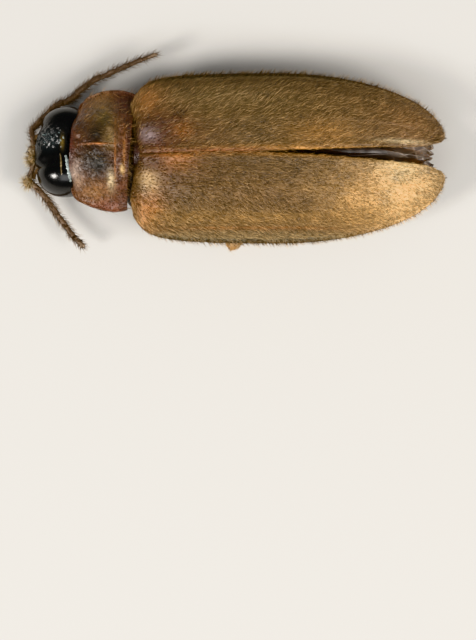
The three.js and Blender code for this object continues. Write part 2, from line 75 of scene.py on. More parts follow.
def addNode(tree, kind, inputs=None, output=0, **settings):
    # gives back the node's chosen output
    node = tree.nodes.new(kind)
    for key, value in settings.items():
        setattr(node, key, value)
    fillInputs(tree, node, inputs or {})
    return node.outputs[output]


def placed(name, data):
    thing = bpy.data.objects.new(name, data)
    bpy.context.scene.collection.objects.link(thing)
    return thing


def readAll(items, field, size):
    values = np.zeros(len(items) * size)
    items.foreach_get(field, values)
    return values.reshape(-1, size)


# Shapes as grids of points, in millimetres

def past(value, start, end):
    return np.clip((value - start) / (end - start), 0, None)


def ease(value, start, end):
    t = np.clip((value - start) / (end - start), 0, 1)
    return t * t * (3 - 2 * t)


def ridge(value, centre, width):
    return np.exp(-((value - centre) / width) ** 2)


def smoothRoute(points, count):
    # a Catmull-Rom route through the points, with count places evenly along it
    stepsBetween = 24
    given = np.asarray(points, float)
    padded = np.vstack([2 * given[0] - given[1], given, 2 * given[-1] - given[-2]])
    dense = []
    for i in range(1, len(padded) - 2):
        a, b, c, d = padded[i - 1:i + 3]
        for t in np.linspace(0, 1, stepsBetween, endpoint=False):
            dense.append(0.5 * (2 * b + (c - a) * t + (2 * a - 5 * b + 4 * c - d) * t ** 2
                                + (3 * b - a - 3 * c + d) * t ** 3))
    dense = np.array(dense + [given[-1]])
    run = np.concatenate([[0], np.cumsum(np.linalg.norm(np.diff(dense, axis=0), axis=1))])
    wanted = np.linspace(0, run[-1], count)
    return np.stack([np.interp(wanted, run, dense[:, k]) for k in range(3)], axis=1)


def unit(vectors):
    return vectors / np.maximum(np.linalg.norm(vectors, axis=-1, keepdims=True), 1e-12)


def tubeRings(route, width, height, sideCount=20, steps=24):
    # rings round a route; width and height are its full sizes across at t, 0 to 1 along it
    centres = smoothRoute(route, steps + 1)
    ahead = unit(np.gradient(centres, axis=0))
    aside = unit(np.cross(ahead, [0, 0, 1]))
    lift = np.cross(aside, ahead)
    t = np.linspace(0, 1, steps + 1)
    angle = 2 * np.pi * np.arange(sideCount) / sideCount
    across = (width(t) / 2)[:, None, None] * np.cos(angle)[None, :, None] * aside[:, None, :]
    up = (height(t) / 2)[:, None, None] * np.sin(angle)[None, :, None] * lift[:, None, :]
    return centres[:, None, :] + across + up


def roundedLoft(sections, sideCount=64, steps=40, roundness=2.4):
    # level sections given as (y, half width, bottom, top), each a rounded box
    table = np.asarray(sections, float)
    smooth = smoothRoute(np.column_stack([table[:, 1], table[:, 0], table[:, 2]]), steps + 1)
    tops = np.interp(smooth[:, 1], table[:, 0], table[:, 3])
    angle = 2 * np.pi * np.arange(sideCount) / sideCount
    across = np.sign(np.cos(angle)) * np.abs(np.cos(angle)) ** (2 / roundness)
    along = np.sign(np.sin(angle)) * np.abs(np.sin(angle)) ** (2 / roundness)
    rings = np.zeros((steps + 1, sideCount, 3))
    rings[..., 0] = smooth[:, 0, None] * across
    rings[..., 1] = smooth[:, 1, None]
    rings[..., 2] = ((tops + smooth[:, 2]) / 2)[:, None] + ((tops - smooth[:, 2]) / 2)[:, None] * along
    return rings


def ballRings(centre, radii, sideCount=40, steps=28):
    # an ellipsoid, its poles at the low and high end of y
    turn = np.linspace(0, np.pi, steps + 1)[1:-1]
    angle = 2 * np.pi * np.arange(sideCount) / sideCount
    rings = np.zeros((len(turn), sideCount, 3))
    rings[..., 0] = centre[0] + radii[0] * np.sin(turn)[:, None] * np.cos(angle)
    rings[..., 1] = centre[1] - radii[1] * np.cos(turn)[:, None] * np.ones(sideCount)
    rings[..., 2] = centre[2] + radii[2] * np.sin(turn)[:, None] * np.sin(angle)
    return rings


# Meshes, each with a map of its own skin that the hairs on it also use

def signedVolume(points, faces):
    total = 0.0
    for face in faces:
        a = points[face[0]]
        for b, c in zip(face[1:-1], face[2:]):
            total += np.dot(a, np.cross(points[b], points[c]))
    return total


def newPiece(name, points, faces, maps):
    if signedVolume(points, faces) < 0:
        faces, maps = [f[::-1] for f in faces], [m[::-1] for m in maps]
    mesh = bpy.data.meshes.new(name)
    mesh.from_pydata(toFrame(points).tolist(), [], faces)
    layer = mesh.uv_layers.new(name="skinMap")
    layer.data.foreach_set("uv", np.concatenate([np.asarray(m, float).ravel() for m in maps]))
    mesh.shade_smooth()
    return placed(name, mesh)


def wrapSkin(name, rings):
    # a closed skin over rings, with a fan to a pole at each end that takes a little of the map
    fanShare, wallShare = 0.02, 0.96
    count, around = rings.shape[:2]
    points = np.vstack([rings.reshape(-1, 3), rings[0].mean(axis=0), rings[-1].mean(axis=0)])
    u = np.arange(around + 1) / around
    v = fanShare + wallShare * np.arange(count) / (count - 1)
    faces, maps = [], []
    for i in range(count - 1):
        for j in range(around):
            k = (j + 1) % around
            faces.append((i * around + j, i * around + k, (i + 1) * around + k, (i + 1) * around + j))
            maps.append(((u[j], v[i]), (u[j + 1], v[i]), (u[j + 1], v[i + 1]), (u[j], v[i + 1])))
    for end, row, tip in ((0, 0, 0.0), (1, count - 1, 1.0)):
        for j in range(around):
            first, second = row * around + j, row * around + (j + 1) % around
            corner = ((u[j], v[row]), (u[j + 1], v[row]), ((u[j] + u[j + 1]) / 2, tip))
            faces.append((first, second, count * around + end)[::-1 if end == 0 else 1])
            maps.append(corner[::-1 if end == 0 else 1])
    return newPiece(name, points, faces, maps)


def plateSkin(name, outer, thickness, facing=1):
    # a thin closed plate under an outer face; facing is 1 where columns, rows and outward
    # are right-handed; the face's normals are given back with it
    # the outer face takes the low part of the map and the inner one the same, shifted up
    faceShare, innerShift = 0.48, 0.52
    rows, columns = outer.shape[:2]
    across, along = np.gradient(outer, axis=1), np.gradient(outer, axis=0)
    normal = unit(np.cross(across, along)) * facing
    inner = outer - normal * thickness[..., None]
    points = np.vstack([outer.reshape(-1, 3), inner.reshape(-1, 3)])
    below = rows * columns
    u = np.linspace(0, 1, columns)
    v = np.linspace(0, faceShare, rows)
    faces, maps = [], []
    for i in range(rows - 1):
        for j in range(columns - 1):
            a = i * columns + j
            b, c, d = a + 1, a + columns + 1, a + columns
            corner = ((u[j], v[i]), (u[j + 1], v[i]), (u[j + 1], v[i + 1]), (u[j], v[i + 1]))
            faces += [(a, b, c, d), (d + below, c + below, b + below, a + below)]
            maps += [corner, [(x, y + innerShift) for x, y in corner[::-1]]]
    def rim(a, b):
        faces.append((b, a, a + below, b + below))
        at = [(u[p % columns], v[p // columns]) for p in (b, a)]
        maps.append(at + [(x, y + innerShift) for x, y in at[::-1]])
    for j in range(columns - 1):
        rim(j, j + 1)
        rim((rows - 1) * columns + j + 1, (rows - 1) * columns + j)
    for i in range(rows - 1):
        rim((i + 1) * columns, i * columns)
        rim(i * columns + columns - 1, (i + 1) * columns + columns - 1)
    return newPiece(name, points, faces, maps), normal


def setAttribute(piece, name, kind, values):
    known = piece.data.attributes
    attribute = known.get(name) or known.new(name, kind, "POINT")
    field = {"FLOAT": "value", "FLOAT_VECTOR": "vector", "FLOAT_COLOR": "color"}[kind]
    attribute.data.foreach_set(field, np.asarray(values, np.float32).ravel())


def bodyPoints(piece):
    return (readAll(piece.data.vertices, "co", 3) - bodyOrigin) / mm


def paint(piece, base, marks, side=1, under=None, relief=1.0):
    # a ground colour with soft marks over it, each (x, y, reach x, reach y, colour, strength)
    # under is the ground where the skin faces down; the alpha is how much of the relief shows
    points = bodyPoints(piece)
    down = ease(-readAll(piece.data.vertices, "normal", 3)[:, 2], 0.0, 0.3)
    tone = np.tile(linearColour(base), (len(points), 1))
    for x, y, reachX, reachY, code, strength in marks:
        away = ((points[:, 0] * side - x) / reachX) ** 2 + ((points[:, 1] - y) / reachY) ** 2
        share = strength * np.exp(-away)
        if under:
            share *= 1 - down
        tone += share[:, None] * (np.array(linearColour(code)) - tone)
    if under:
        tone += down[:, None] * (np.array(linearColour(under)) - tone)
    tone[:, 3] = relief
    setAttribute(piece, "tone", "FLOAT_COLOR", tone)


def blendTone(piece, share, code):
    # the tone turned towards a colour by a share for each point
    tone = readAll(piece.data.attributes["tone"].data, "color", 4)
    share = np.concatenate([np.ravel(share), np.zeros(len(tone) - np.size(share))])[:, None]
    tone[:, :3] += share * (np.array(linearColour(code)[:3]) - tone[:, :3])
    setAttribute(piece, "tone", "FLOAT_COLOR", tone)


def dress(piece, material, slot, *nodes):
    piece.data.materials.clear()
    piece.data.materials.append(material)
    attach(piece, "root")
    if nodes:
        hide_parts(*nodes)
    return piece


print("body axes and helpers ready")

# Finishes

chitinIor = 1.55
lightReach = (0.3, 0.16, 0.07)  # of red, green and blue light inside the skin


def newMaterial(name):
    material = bpy.data.materials.new(name)
    material.use_nodes = True
    return material, material.node_tree, material.node_tree.nodes["Principled BSDF"]


def shellFinish(name, look):
    # insect shell: the tone painted on the piece, mottled, with pits, fine wrinkles and a waxy gloss;
    # where the tone's alpha is low it is smoother and duller
    # mottle is (size, strength), pits (spacing, darkness, depth), wrinkles (size, strength), in mm,
    # and coat (weight, roughness)
    mottleSize, mottling = look["mottle"]
    pitSpacing, pitDark, pitDepth = look["pits"]
    wrinkleSize, wrinkling = look["wrinkles"]
    coat, coatRoughness = look.get("coat", (0, 0.3))
    material, tree, shader = newMaterial(name)
    place = addNode(tree, "ShaderNodeTexCoord", output="Object")
    tone = addNode(tree, "ShaderNodeAttribute", output="Color", attribute_name="tone")
    relief = addNode(tree, "ShaderNodeAttribute", output="Alpha", attribute_name="tone")
    mottle = addNode(tree, "ShaderNodeTexNoise", {
        "Vector": place, "Scale": 1 / (mottleSize * mm), "Detail": 5.0, "Roughness": 0.6})
    shade = addNode(tree, "ShaderNodeMapRange", {
        "Value": mottle, "From Min": 0.3, "From Max": 0.7,
        "To Min": 1 - mottling, "To Max": 1 + mottling})
    pits = addNode(tree, "ShaderNodeTexVoronoi", {
        "Vector": place, "Scale": 1 / (pitSpacing * mm), "Randomness": 0.85})
    pitMask = addNode(tree, "ShaderNodeMapRange", {
        "Value": pits, "From Min": 0.12, "From Max": 0.5, "To Min": 0.0, "To Max": 1.0},
        interpolation_type="SMOOTHSTEP")
    pitShade = addNode(tree, "ShaderNodeMapRange", {
        "Value": pitMask, "To Min": 1 - pitDark, "To Max": 1.0})
    whole = addNode(tree, "ShaderNodeMath", {0: shade, 1: pitShade}, operation="MULTIPLY")
    coloured = addNode(tree, "ShaderNodeVectorMath", {0: tone, "Scale": whole}, operation="SCALE")
    wrinkle = addNode(tree, "ShaderNodeTexNoise", {
        "Vector": place, "Scale": 1 / (wrinkleSize * mm), "Detail": 4.0, "Roughness": 0.65})
    height = addNode(tree, "ShaderNodeMath", {
        0: wrinkle, 1: wrinkling, 2: pitMask}, operation="MULTIPLY_ADD")
    bump = addNode(tree, "ShaderNodeBump", {
        "Height": height, "Distance": pitDepth * mm, "Strength": relief})
    uneven = addNode(tree, "ShaderNodeMapRange", {
        "Value": mottle, "From Min": 0.3, "From Max": 0.7,
        "To Min": look["roughness"] + 0.12, "To Max": look["roughness"] + 0.28})
    dull = addNode(tree, "ShaderNodeMath", {0: relief, 1: -0.2, 2: uneven}, operation="MULTIPLY_ADD")
    wet = addNode(tree, "ShaderNodeMath", {0: relief, 1: coat}, operation="MULTIPLY")
    fillInputs(tree, shader, {
        "Base Color": coloured, "Normal": bump, "Roughness": dull, "IOR": chitinIor,
        "Coat Weight": wet, "Coat Roughness": coatRoughness,
        "Subsurface Weight": look.get("glow", 0), "Subsurface Scale": 1.0,
        "Subsurface Radius": [reach * mm for reach in lightReach]})
    return material


def hairFinish(name, look):
    # dry setae: each takes the tone at its root, turned towards gold; a few are painted much brighter, as
    # painted glints
    material, tree, shader = newMaterial(name)
    tone = addNode(tree, "ShaderNodeAttribute", output="Color", attribute_name="tone")
    strand = addNode(tree, "ShaderNodeAttribute", output="Vector", attribute_name="strand")
    chance = addNode(tree, "ShaderNodeAttribute", output="Fac", attribute_name="shade")
    along = addNode(tree, "ShaderNodeSeparateXYZ", {0: strand}, "Y")
    gold = addNode(tree, "ShaderNodeMix", {
        0: along, 6: linearColour(look["root"]), 7: linearColour(look["tip"])}, 2, data_type="RGBA")
    blend = addNode(tree, "ShaderNodeMix", {0: look["gold"], 6: tone, 7: gold}, 2, data_type="RGBA")
    # the brightest few hairs are painted glints
    rare = addNode(tree, "ShaderNodeMath", {0: chance, 1: 2.5}, operation="POWER")
    vary = addNode(tree, "ShaderNodeMapRange", {
        "Value": rare, "To Min": look["dark"], "To Max": look["bright"]})
    coloured = addNode(tree, "ShaderNodeVectorMath", {0: blend, "Scale": vary}, operation="SCALE")
    fillInputs(tree, shader, {"Base Color": coloured, "Roughness": look["roughness"], "IOR": chitinIor})
    return material


# Node trees that grow geometry on a carrier; each is asked for with all its inputs

def newTree(name, numbers, whole):
    tree = bpy.data.node_groups.new(name, "GeometryNodeTree")
    sockets = [("Geometry", "Geometry")] + [(number, "Float") for number in numbers]
    for title, kind in sockets + [(whole, "Int"), ("Finish", "Material")]:
        tree.interface.new_socket(title, in_out="INPUT", socket_type="NodeSocket" + kind)
    tree.interface.new_socket("Geometry", in_out="OUTPUT", socket_type="NodeSocketGeometry")
    return tree, tree.nodes.new("NodeGroupInput").outputs


def finishTree(tree, geometry, given):
    finished = addNode(tree, "GeometryNodeSetMaterial", {
        "Geometry": geometry, "Material": given["Finish"]})
    tree.links.new(finished, tree.nodes.new("NodeGroupOutput").inputs[0])
    return tree


# Setae: scattered over a skin, laid along its "lie" and bent back towards it

def setaeTree():
    tree, given = newTree("scatteredSetae", (
        "Density", "Length", "Radius", "Lift", "Lift Spread", "Stray",
        "Swirl", "Swirl Scale", "Curl"), "Seed")
    seen = {}
    for name, kind in (("lie", "FLOAT_VECTOR"), ("skinMap", "FLOAT_VECTOR"), ("strand", "FLOAT_VECTOR"),
                       ("furDensity", "FLOAT"), ("furLength", "FLOAT")):
        seen[name] = addNode(tree, "GeometryNodeInputNamedAttribute", {"Name": name}, data_type=kind)

    # one hair: a slim three-sided cone, bent back along its length
    cone = addNode(tree, "GeometryNodeMeshCone", {
        "Vertices": 3, "Side Segments": 2, "Radius Top": 0.0,
        "Radius Bottom": given["Radius"], "Depth": given["Length"]})
    own = addNode(tree, "GeometryNodeInputPosition")
    ownX, _, ownZ = addNode(tree, "ShaderNodeSeparateXYZ", {0: own}).node.outputs
    aside = addNode(tree, "ShaderNodeMath", {0: ownX, 1: given["Radius"]}, operation="DIVIDE")
    along = addNode(tree, "ShaderNodeMath", {0: ownZ, 1: given["Length"]}, operation="DIVIDE")
    patch = addNode(tree, "ShaderNodeCombineXYZ", {0: aside, 1: along})
    kept = addNode(tree, "GeometryNodeStoreNamedAttribute", {
        "Geometry": cone, "Name": "strand", "Value": patch}, data_type="FLOAT_VECTOR", domain="POINT")
    alongKept = addNode(tree, "ShaderNodeSeparateXYZ", {0: seen["strand"]}, "Y")
    squared = addNode(tree, "ShaderNodeMath", {0: alongKept, 1: 2.0}, operation="POWER")
    reach = addNode(tree, "ShaderNodeMath", {0: squared, 1: given["Length"]}, operation="MULTIPLY")
    sag = addNode(tree, "ShaderNodeMath", {0: reach, 1: given["Curl"]}, operation="MULTIPLY")
    back = addNode(tree, "ShaderNodeMath", {0: sag, 1: -1.0}, operation="MULTIPLY")
    offset = addNode(tree, "ShaderNodeCombineXYZ", {0: back})
    bent = addNode(tree, "GeometryNodeSetPosition", {"Geometry": kept, "Offset": offset})
    hair = addNode(tree, "GeometryNodeSetShadeSmooth", {0: bent})

    # where they stand, and how they lie: along the skin's flow, in swirls, a little astray and lifted
    density = addNode(tree, "ShaderNodeMath", {
        0: given["Density"], 1: seen["furDensity"]}, operation="MULTIPLY")
    scatter = addNode(tree, "GeometryNodeDistributePointsOnFaces", {
        "Mesh": given["Geometry"], "Density": density, "Seed": given["Seed"]})
    normal = scatter.node.outputs["Normal"]
    swirl = addNode(tree, "ShaderNodeTexNoise", {"Scale": given["Swirl Scale"], "Detail": 1.0})
    centred = addNode(tree, "ShaderNodeMath", {0: swirl, 1: 0.5}, operation="SUBTRACT")
    wide = addNode(tree, "ShaderNodeMath", {0: given["Swirl"], 1: 4.0}, operation="MULTIPLY")
    low = addNode(tree, "ShaderNodeMath", {0: given["Stray"], 1: -1.0}, operation="MULTIPLY")
    stray = addNode(tree, "FunctionNodeRandomValue", {
        2: low, 3: given["Stray"], 8: 11}, 1, data_type="FLOAT")
    turn = addNode(tree, "ShaderNodeMath", {0: centred, 1: wide, 2: stray}, operation="MULTIPLY_ADD")
    lie = addNode(tree, "ShaderNodeVectorRotate", {
        "Vector": seen["lie"], "Axis": normal, "Angle": turn}, rotation_type="AXIS_ANGLE")
    least, most = [addNode(tree, "ShaderNodeMath", {
        0: given["Lift"], 1: given["Lift Spread"]}, operation=kind) for kind in ("SUBTRACT", "ADD")]
    lift = addNode(tree, "FunctionNodeRandomValue", {2: least, 3: most, 8: 12}, 1, data_type="FLOAT")
    flatness = addNode(tree, "ShaderNodeMath", {0: lift}, operation="COSINE")
    rise = addNode(tree, "ShaderNodeMath", {0: lift}, operation="SINE")
    flat = addNode(tree, "ShaderNodeVectorMath", {0: lie, "Scale": flatness}, operation="SCALE")
    risen = addNode(tree, "ShaderNodeVectorMath", {0: normal, "Scale": rise}, operation="SCALE")
    heading = addNode(tree, "ShaderNodeVectorMath", {0: flat, 1: risen}, operation="ADD")
    facing = addNode(tree, "FunctionNodeAxesToRotation", {
        "Primary Axis": heading, "Secondary Axis": normal}, primary_axis="Z", secondary_axis="X")
    uneven = addNode(tree, "FunctionNodeRandomValue", {2: 0.7, 3: 1.2, 8: 13}, 1, data_type="FLOAT")
    size = addNode(tree, "ShaderNodeMath", {0: seen["furLength"], 1: uneven}, operation="MULTIPLY")
    chance = addNode(tree, "FunctionNodeRandomValue", {2: 0.0, 3: 1.0, 8: 14}, 1, data_type="FLOAT")
    points = addNode(tree, "GeometryNodeStoreNamedAttribute", {
        "Geometry": scatter, "Name": "shade", "Value": chance}, data_type="FLOAT", domain="POINT")
    scale = addNode(tree, "ShaderNodeCombineXYZ", {0: size, 1: size, 2: size})
    hairs = addNode(tree, "GeometryNodeInstanceOnPoints", {
        "Points": points, "Instance": hair, "Rotation": facing, "Scale": scale})
    real = addNode(tree, "GeometryNodeRealizeInstances", {"Geometry": hairs})

    # each hair is a small patch on the map, at its root's place on the skin
    patchSize = 0.003
    onPatch = addNode(tree, "ShaderNodeVectorMath", {
        0: seen["strand"], "Scale": patchSize / 2}, operation="SCALE")
    onSkin = addNode(tree, "ShaderNodeVectorMath", {0: seen["skinMap"], 1: onPatch}, operation="ADD")
    mapped = addNode(tree, "GeometryNodeStoreNamedAttribute", {
        "Geometry": real, "Name": "OFBake", "Value": onSkin}, data_type="FLOAT2", domain="CORNER")
    for name in ("lie", "furDensity", "furLength", "skinMap"):
        mapped = addNode(tree, "GeometryNodeRemoveAttribute", {"Geometry": mapped, "Name": name})
    return finishTree(tree, mapped, given)


setae = setaeTree()


def plainMeshOf(carrier, tree, inputs, name):
    # the tree's result on the carrier, as a plain mesh piece with no modifier
    modifier = carrier.modifiers.new("nodes", "NODES")
    modifier.node_group = tree
    for socket in tree.interface.items_tree:
        if socket.in_out == "INPUT" and socket.name in inputs:
            modifier[socket.identifier] = inputs[socket.name]
    bpy.context.view_layer.update()
    graph = bpy.context.evaluated_depsgraph_get()
    mesh = bpy.data.meshes.new_from_object(
        carrier.evaluated_get(graph), preserve_all_data_layers=True, depsgraph=graph)
    mesh.name = name
    carrier.modifiers.remove(modifier)
    return placed(name, mesh)


def joined(parts, name):
    # several pieces as one
    if len(parts) > 1:
        with bpy.context.temp_override(
                active_object=parts[0], selected_editable_objects=parts, selected_objects=parts):
            bpy.ops.object.join()
    parts[0].name = parts[0].data.name = name
    return parts[0]


def levelled(lie, normal):
    # directions laid into the skin
    flat = normal.reshape(-1, 3)
    return lie - flat * np.sum(lie * flat, axis=1, keepdims=True)


def growFur(skin, lie, length=1.0, density=1.0):
    # the lie in body axes, and how long and how dense the hairs are beside the coat's own sizes
    count = len(skin.data.vertices)
    full = np.zeros((count, 3))
    full[:len(lie)] = lie
    full[len(lie):] = np.asarray(lie)[-1]
    setAttribute(skin, "lie", "FLOAT_VECTOR", unit(full))
    for name, value in (("furLength", length), ("furDensity", density)):
        given = np.full(len(lie), value) if np.isscalar(value) else value
        rest = value if np.isscalar(value) else 0
        setAttribute(skin, name, "FLOAT", np.concatenate([given, np.full(count - len(given), rest)]))


def alongSkin(rings):
    # directions along the rings, for hairs that lie down a limb or a body
    flow = np.gradient(rings, axis=0).reshape(-1, 3)
    return np.vstack([flow, flow[:1], flow[-1:]])


def furred(name, rings, ground, marks=(), fur=(1.0, 1.0), place=None, lie=None):
    # a wrapped skin in its ground colour, with the length and density of its fur; place moves the rings
    skin = wrapSkin(name, place(rings) if place else rings)
    paint(skin, ground, marks)
    growFur(skin, alongSkin(rings) if lie is None else lie, *fur)
    return skin


def coatOver(name, skins, material, slot, look, seed):
    # one coat piece of setae over one skin or several; hairs is (per square mm, length, width),
    # lift (angle, spread) and swirl (angle, size), in mm and degrees
    perSquareMm, length, width = look["hairs"]
    lift, liftSpread = look["lift"]
    swirl, swirlSize = look["swirl"]
    inputs = {
        "Density": perSquareMm / mm ** 2, "Length": length * mm, "Radius": width / 2 * mm,
        "Lift": math.radians(lift), "Lift Spread": math.radians(liftSpread),
        "Stray": math.radians(look["stray"]), "Swirl": math.radians(swirl),
        "Swirl Scale": 1 / (swirlSize * mm), "Curl": look["curl"], "Finish": material}
    parts = []
    for index, skin in enumerate(skins):
        inputs["Seed"] = seed + index
        parts.append(plainMeshOf(skin, setae, inputs, f"{name}{index}"))
    coat = joined(parts, name)
    print(f"{name}: {len(coat.data.polygons)} faces")
    return dress(coat, material, slot)


print("finishes and the setae tree ready")

# Wing-cases

elytronLook = {
    "frontY": 2.82, "tipY": 11.52, "halfWidth": 2.42, "tipX": 0.55, "thickness": 0.1, "thinEdge": 0.6,
    "shoulderPinch": 0.3, "shoulderNear": 0.03, "shoulderFar": 0.12, "shoulderRound": 0.06,
    "shoulderBulge": 0.12, "frontFall": 0.32, "frontRoll": 0.035, "taperStart": 0.45,
    "sutureX": 0.03, "sutureHalf": 0.005, "spread": {"left": 0.27, "right": 0.3}, "spreadStart": 0.37,
    "partingPower": 1.2, "baseZ": 2.37, "crestRise": 0.5, "crestReach": 0.35, "apexDrop": 1.2,
    "marginZ": 1.2, "marginLift": 0.22, "tipLift": 0.1, "domePower": 2.6, "rimAt": 0.94, "rimBead": 0.03,
    "sutureBead": 0.035, "costae": (0.27, 0.48, 0.7), "costaHeight": 0.022, "costaWidth": 0.022,
    "columns": 90, "rows": 220, "rowCrowding": 0.11, "fringe": 1.4, "fringeLength": 0.9,
    "ground": "#5e4c33", "under": "#4c402c", "underRim": "#5a4e38", "underLine": "#a8865a",
    "marks": [
        (1.55, 3.2, 0.5, 0.45, "#b87c46", 0.9), (0.3, 3.4, 0.9, 0.85, "#4e2a1c", 0.85),
        (0.5, 4.6, 0.5, 0.9, "#66462c", 0.6),
        (2.24, 6.3, 0.13, 4.6, "#6c6448", 0.85), (0.08, 8.6, 0.08, 3.0, "#cc9650", 0.9),
        (0.0, 5.2, 0.1, 1.6, "#8a5230", 0.8),
    ],
    "sideMarks": {
        "left": [
            (1.8, 6.0, 0.22, 4.0, "#a88654", 0.8), (2.05, 6.4, 0.03, 2.4, "#ab7038", 0.75),
            (0.4, 5.6, 0.35, 1.6, "#5c472c", 0.6), (0.35, 5.1, 0.4, 0.6, "#46331f", 0.5),
            # a painted highlight on the shiny base of the wing-case
            (0.8, 3.2, 0.28, 0.3, "#dcb884", 0.8),
            (0.18, 4.1, 0.3, 0.5, "#a46a38", 0.75), (1.2, 6.6, 0.6, 2.6, "#806038", 0.5),
            # a painted highlight on the glossy shoulder bump
            (1.7, 3.05, 0.2, 0.16, "#e0a878", 0.7),
            # towards the tip, #d8ac6c and #f2cc90 are partly the hairs' gold and partly painted sheen, and
            # #fbdfa8 is a painted highlight
            (1.2, 9.2, 0.8, 1.0, "#d8ac6c", 0.8), (1.0, 10.5, 1.0, 1.0, "#f2cc90", 0.95),
            (0.42, 10.3, 0.35, 0.5, "#fbdfa8", 0.95), (0.9, 8.4, 0.5, 1.0, "#967648", 0.5),
        ],
        "right": [
            (1.3, 7.0, 0.6, 3.4, "#72603c", 0.5), (1.7, 5.6, 0.4, 1.6, "#8a7a58", 0.6),
            # a8989a beside the scutellum is a painted sheen
            (0.85, 3.8, 0.5, 0.65, "#46281e", 0.75), (0.52, 3.22, 0.2, 0.26, "#a8989a", 0.55),
            (0.6, 4.2, 0.25, 0.25, "#96602f", 0.7), (0.5, 8.2, 0.42, 1.0, "#a87c42", 0.75),
            (1.3, 9.4, 0.9, 1.5, "#7e6444", 0.6), (0.9, 10.6, 0.9, 1.0, "#8e6c4a", 0.8),
            # a painted highlight along the inner edge near the tip
            (0.35, 10.3, 0.06, 0.6, "#fae6bc", 0.9),
        ],
    },
    "setae": {"hairs": (600, 0.19, 0.014), "lift": (22, 12), "stray": 22, "swirl": (20, 0.6), "curl": 0.15},
    "napCut": {"left": ((10.2, 1.3, 0.3), (8.4, 1.2, 0.15)), "right": ((10.8, 0.6, 0.15),)},
    "bare": (0.5, 3.45, 0.85, 0.95, 0.78),
}


def elytraHalfWidth(s):
    e = elytronLook
    arc = np.sqrt(np.clip(1 - past(s, e["taperStart"], 1) ** 2, 0, None))
    pinch = 0.6 * np.exp(-s / e["shoulderNear"]) + 0.4 * np.exp(-s / e["shoulderFar"])
    return (e["tipX"] + (e["halfWidth"] - e["tipX"]) * arc) * (1 - e["shoulderPinch"] * pinch)


def elytronInner(s, name, side):
    # the edges meet a little to the right of the midline and part towards the tail
    e = elytronLook
    start = side * e["sutureX"] + e["sutureHalf"]
    parted = e["spread"][name] * past(s, e["spreadStart"], 1) ** e["partingPower"]
    tipGap = e["tipX"] - 0.03 - start - e["spread"][name]
    return start + parted + tipGap * past(s, 0.9, 1) ** 3


def elytronOuter(name, side):
    e = elytronLook
    u, v = np.meshgrid(np.linspace(0, 1, e["columns"]), np.linspace(0, 1, e["rows"]))
    s = v - e["rowCrowding"] * np.sin(2 * np.pi * v)
    outer, inner = elytraHalfWidth(s), elytronInner(s, name, side)
    x = inner + (outer - inner) * np.sin(np.pi / 2 * u)
    across = np.clip(x / outer, 0, 1)
    crest = e["baseZ"] + e["crestRise"] * np.sin(np.pi / 2 * np.clip(s / e["crestReach"], 0, 1)) \
        - e["apexDrop"] * past(s, e["taperStart"], 1) ** 2
    margin = e["marginZ"] + e["marginLift"] * np.clip(1 - s / 0.3, 0, 1) ** 2 \
        + e["tipLift"] * past(s, 0.8, 1) ** 2
    dome = np.sqrt(np.clip(1 - np.clip(across / e["rimAt"], 0, 1) ** e["domePower"], 0, None) + 0.002)
    z = margin + (crest - margin) * dome
    ends = np.sqrt(np.sin(np.pi * np.clip(v, 0.001, 0.999)))
    for place in e["costae"]:
        z += e["costaHeight"] * ridge(u, place, e["costaWidth"]) * ends
    z += e["rimBead"] * ridge(across, e["rimAt"] + 0.005, 0.02) + e["sutureBead"] * ridge(u, 0.03, 0.03)
    # the front edge rolls down, and the shoulders stand forward
    z -= (z - margin) * e["frontFall"] * np.clip(1 - s / e["frontRoll"], 0, 1) ** 2
    shoulder = e["shoulderRound"] * across ** 4 - e["shoulderBulge"] * ridge(across, 0.75, 0.3)
    y = e["frontY"] + (e["tipY"] - e["frontY"]) * s + shoulder * (1 - s) ** 8
    return np.stack([side * x, y, z], axis=-1), u, across


# waxy wing-case chitin: a dull brown ground with fine dark punctures, so the gold hairs stand out
elytronShell = shellFinish("waxy punctured wing-case chitin", {
    "mottle": (0.5, 0.5), "pits": (0.09, 0.4, 0.02), "wrinkles": (0.05, 0.5),
    "roughness": 0.44, "coat": (0.05, 0.3)})
# dry golden setae: a silky pale-gold nap of separate strokes
goldenSetae = hairFinish("dry golden setae", {
    "root": "#8e6e46", "tip": "#e0c294", "gold": 0.5, "dark": 0.56, "bright": 2.5, "roughness": 0.42})


def makeElytron(name, side):
    e = elytronLook
    outer, u, across = elytronOuter(name, side)
    edge = np.maximum(past(u, 0.93, 1), past(1 - u, 0.96, 1))
    thickness = e["thickness"] * (1 - e["thinEdge"] * edge ** 3)
    skin, normal = plateSkin(f"elytron{name.title()}Shell", outer, thickness, side)
    paint(skin, e["ground"], e["marks"] + e["sideMarks"][name], side, e["under"])
    # below, an olive rim with a tan line inside it
    top = np.zeros(u.size)
    blendTone(skin, np.append(top, ease(across, 0.9, 0.96)), e["underRim"])
    blendTone(skin, np.append(top, ridge(across, 0.9, 0.015)), e["underLine"])
    # the hairs run back and out, more steeply near the side margin, and stand past it as a fringe
    out = np.radians(8 + 42 * across ** 1.5).ravel()
    lie = np.stack([side * np.sin(out), np.cos(out), np.zeros_like(out)], axis=1)
    lie = levelled(lie, normal)
    rim = ease(across, 0.975, 1.0).ravel()
    nap = np.ones(len(lie))
    for place, reach, cut in e["napCut"][name]:
        nap -= cut * ridge(outer[..., 1].ravel(), place, reach)
    bareX, bareY, reachX, reachY, bareness = e["bare"]
    bare = ridge(np.abs(outer[..., 0]), bareX, reachX) * ridge(outer[..., 1], bareY, reachY)
    length = np.maximum(nap, e["fringeLength"] * rim)
    growFur(skin, lie, length, (1 + e["fringe"] * rim) / nap ** 1.5 - bareness * bare.ravel())
    dress(skin, elytronShell, "elytron", f"elytron_{name}")
    coatOver(f"elytron{name.title()}Setae", [skin], goldenSetae, "elytron", e["setae"], 3 + side)


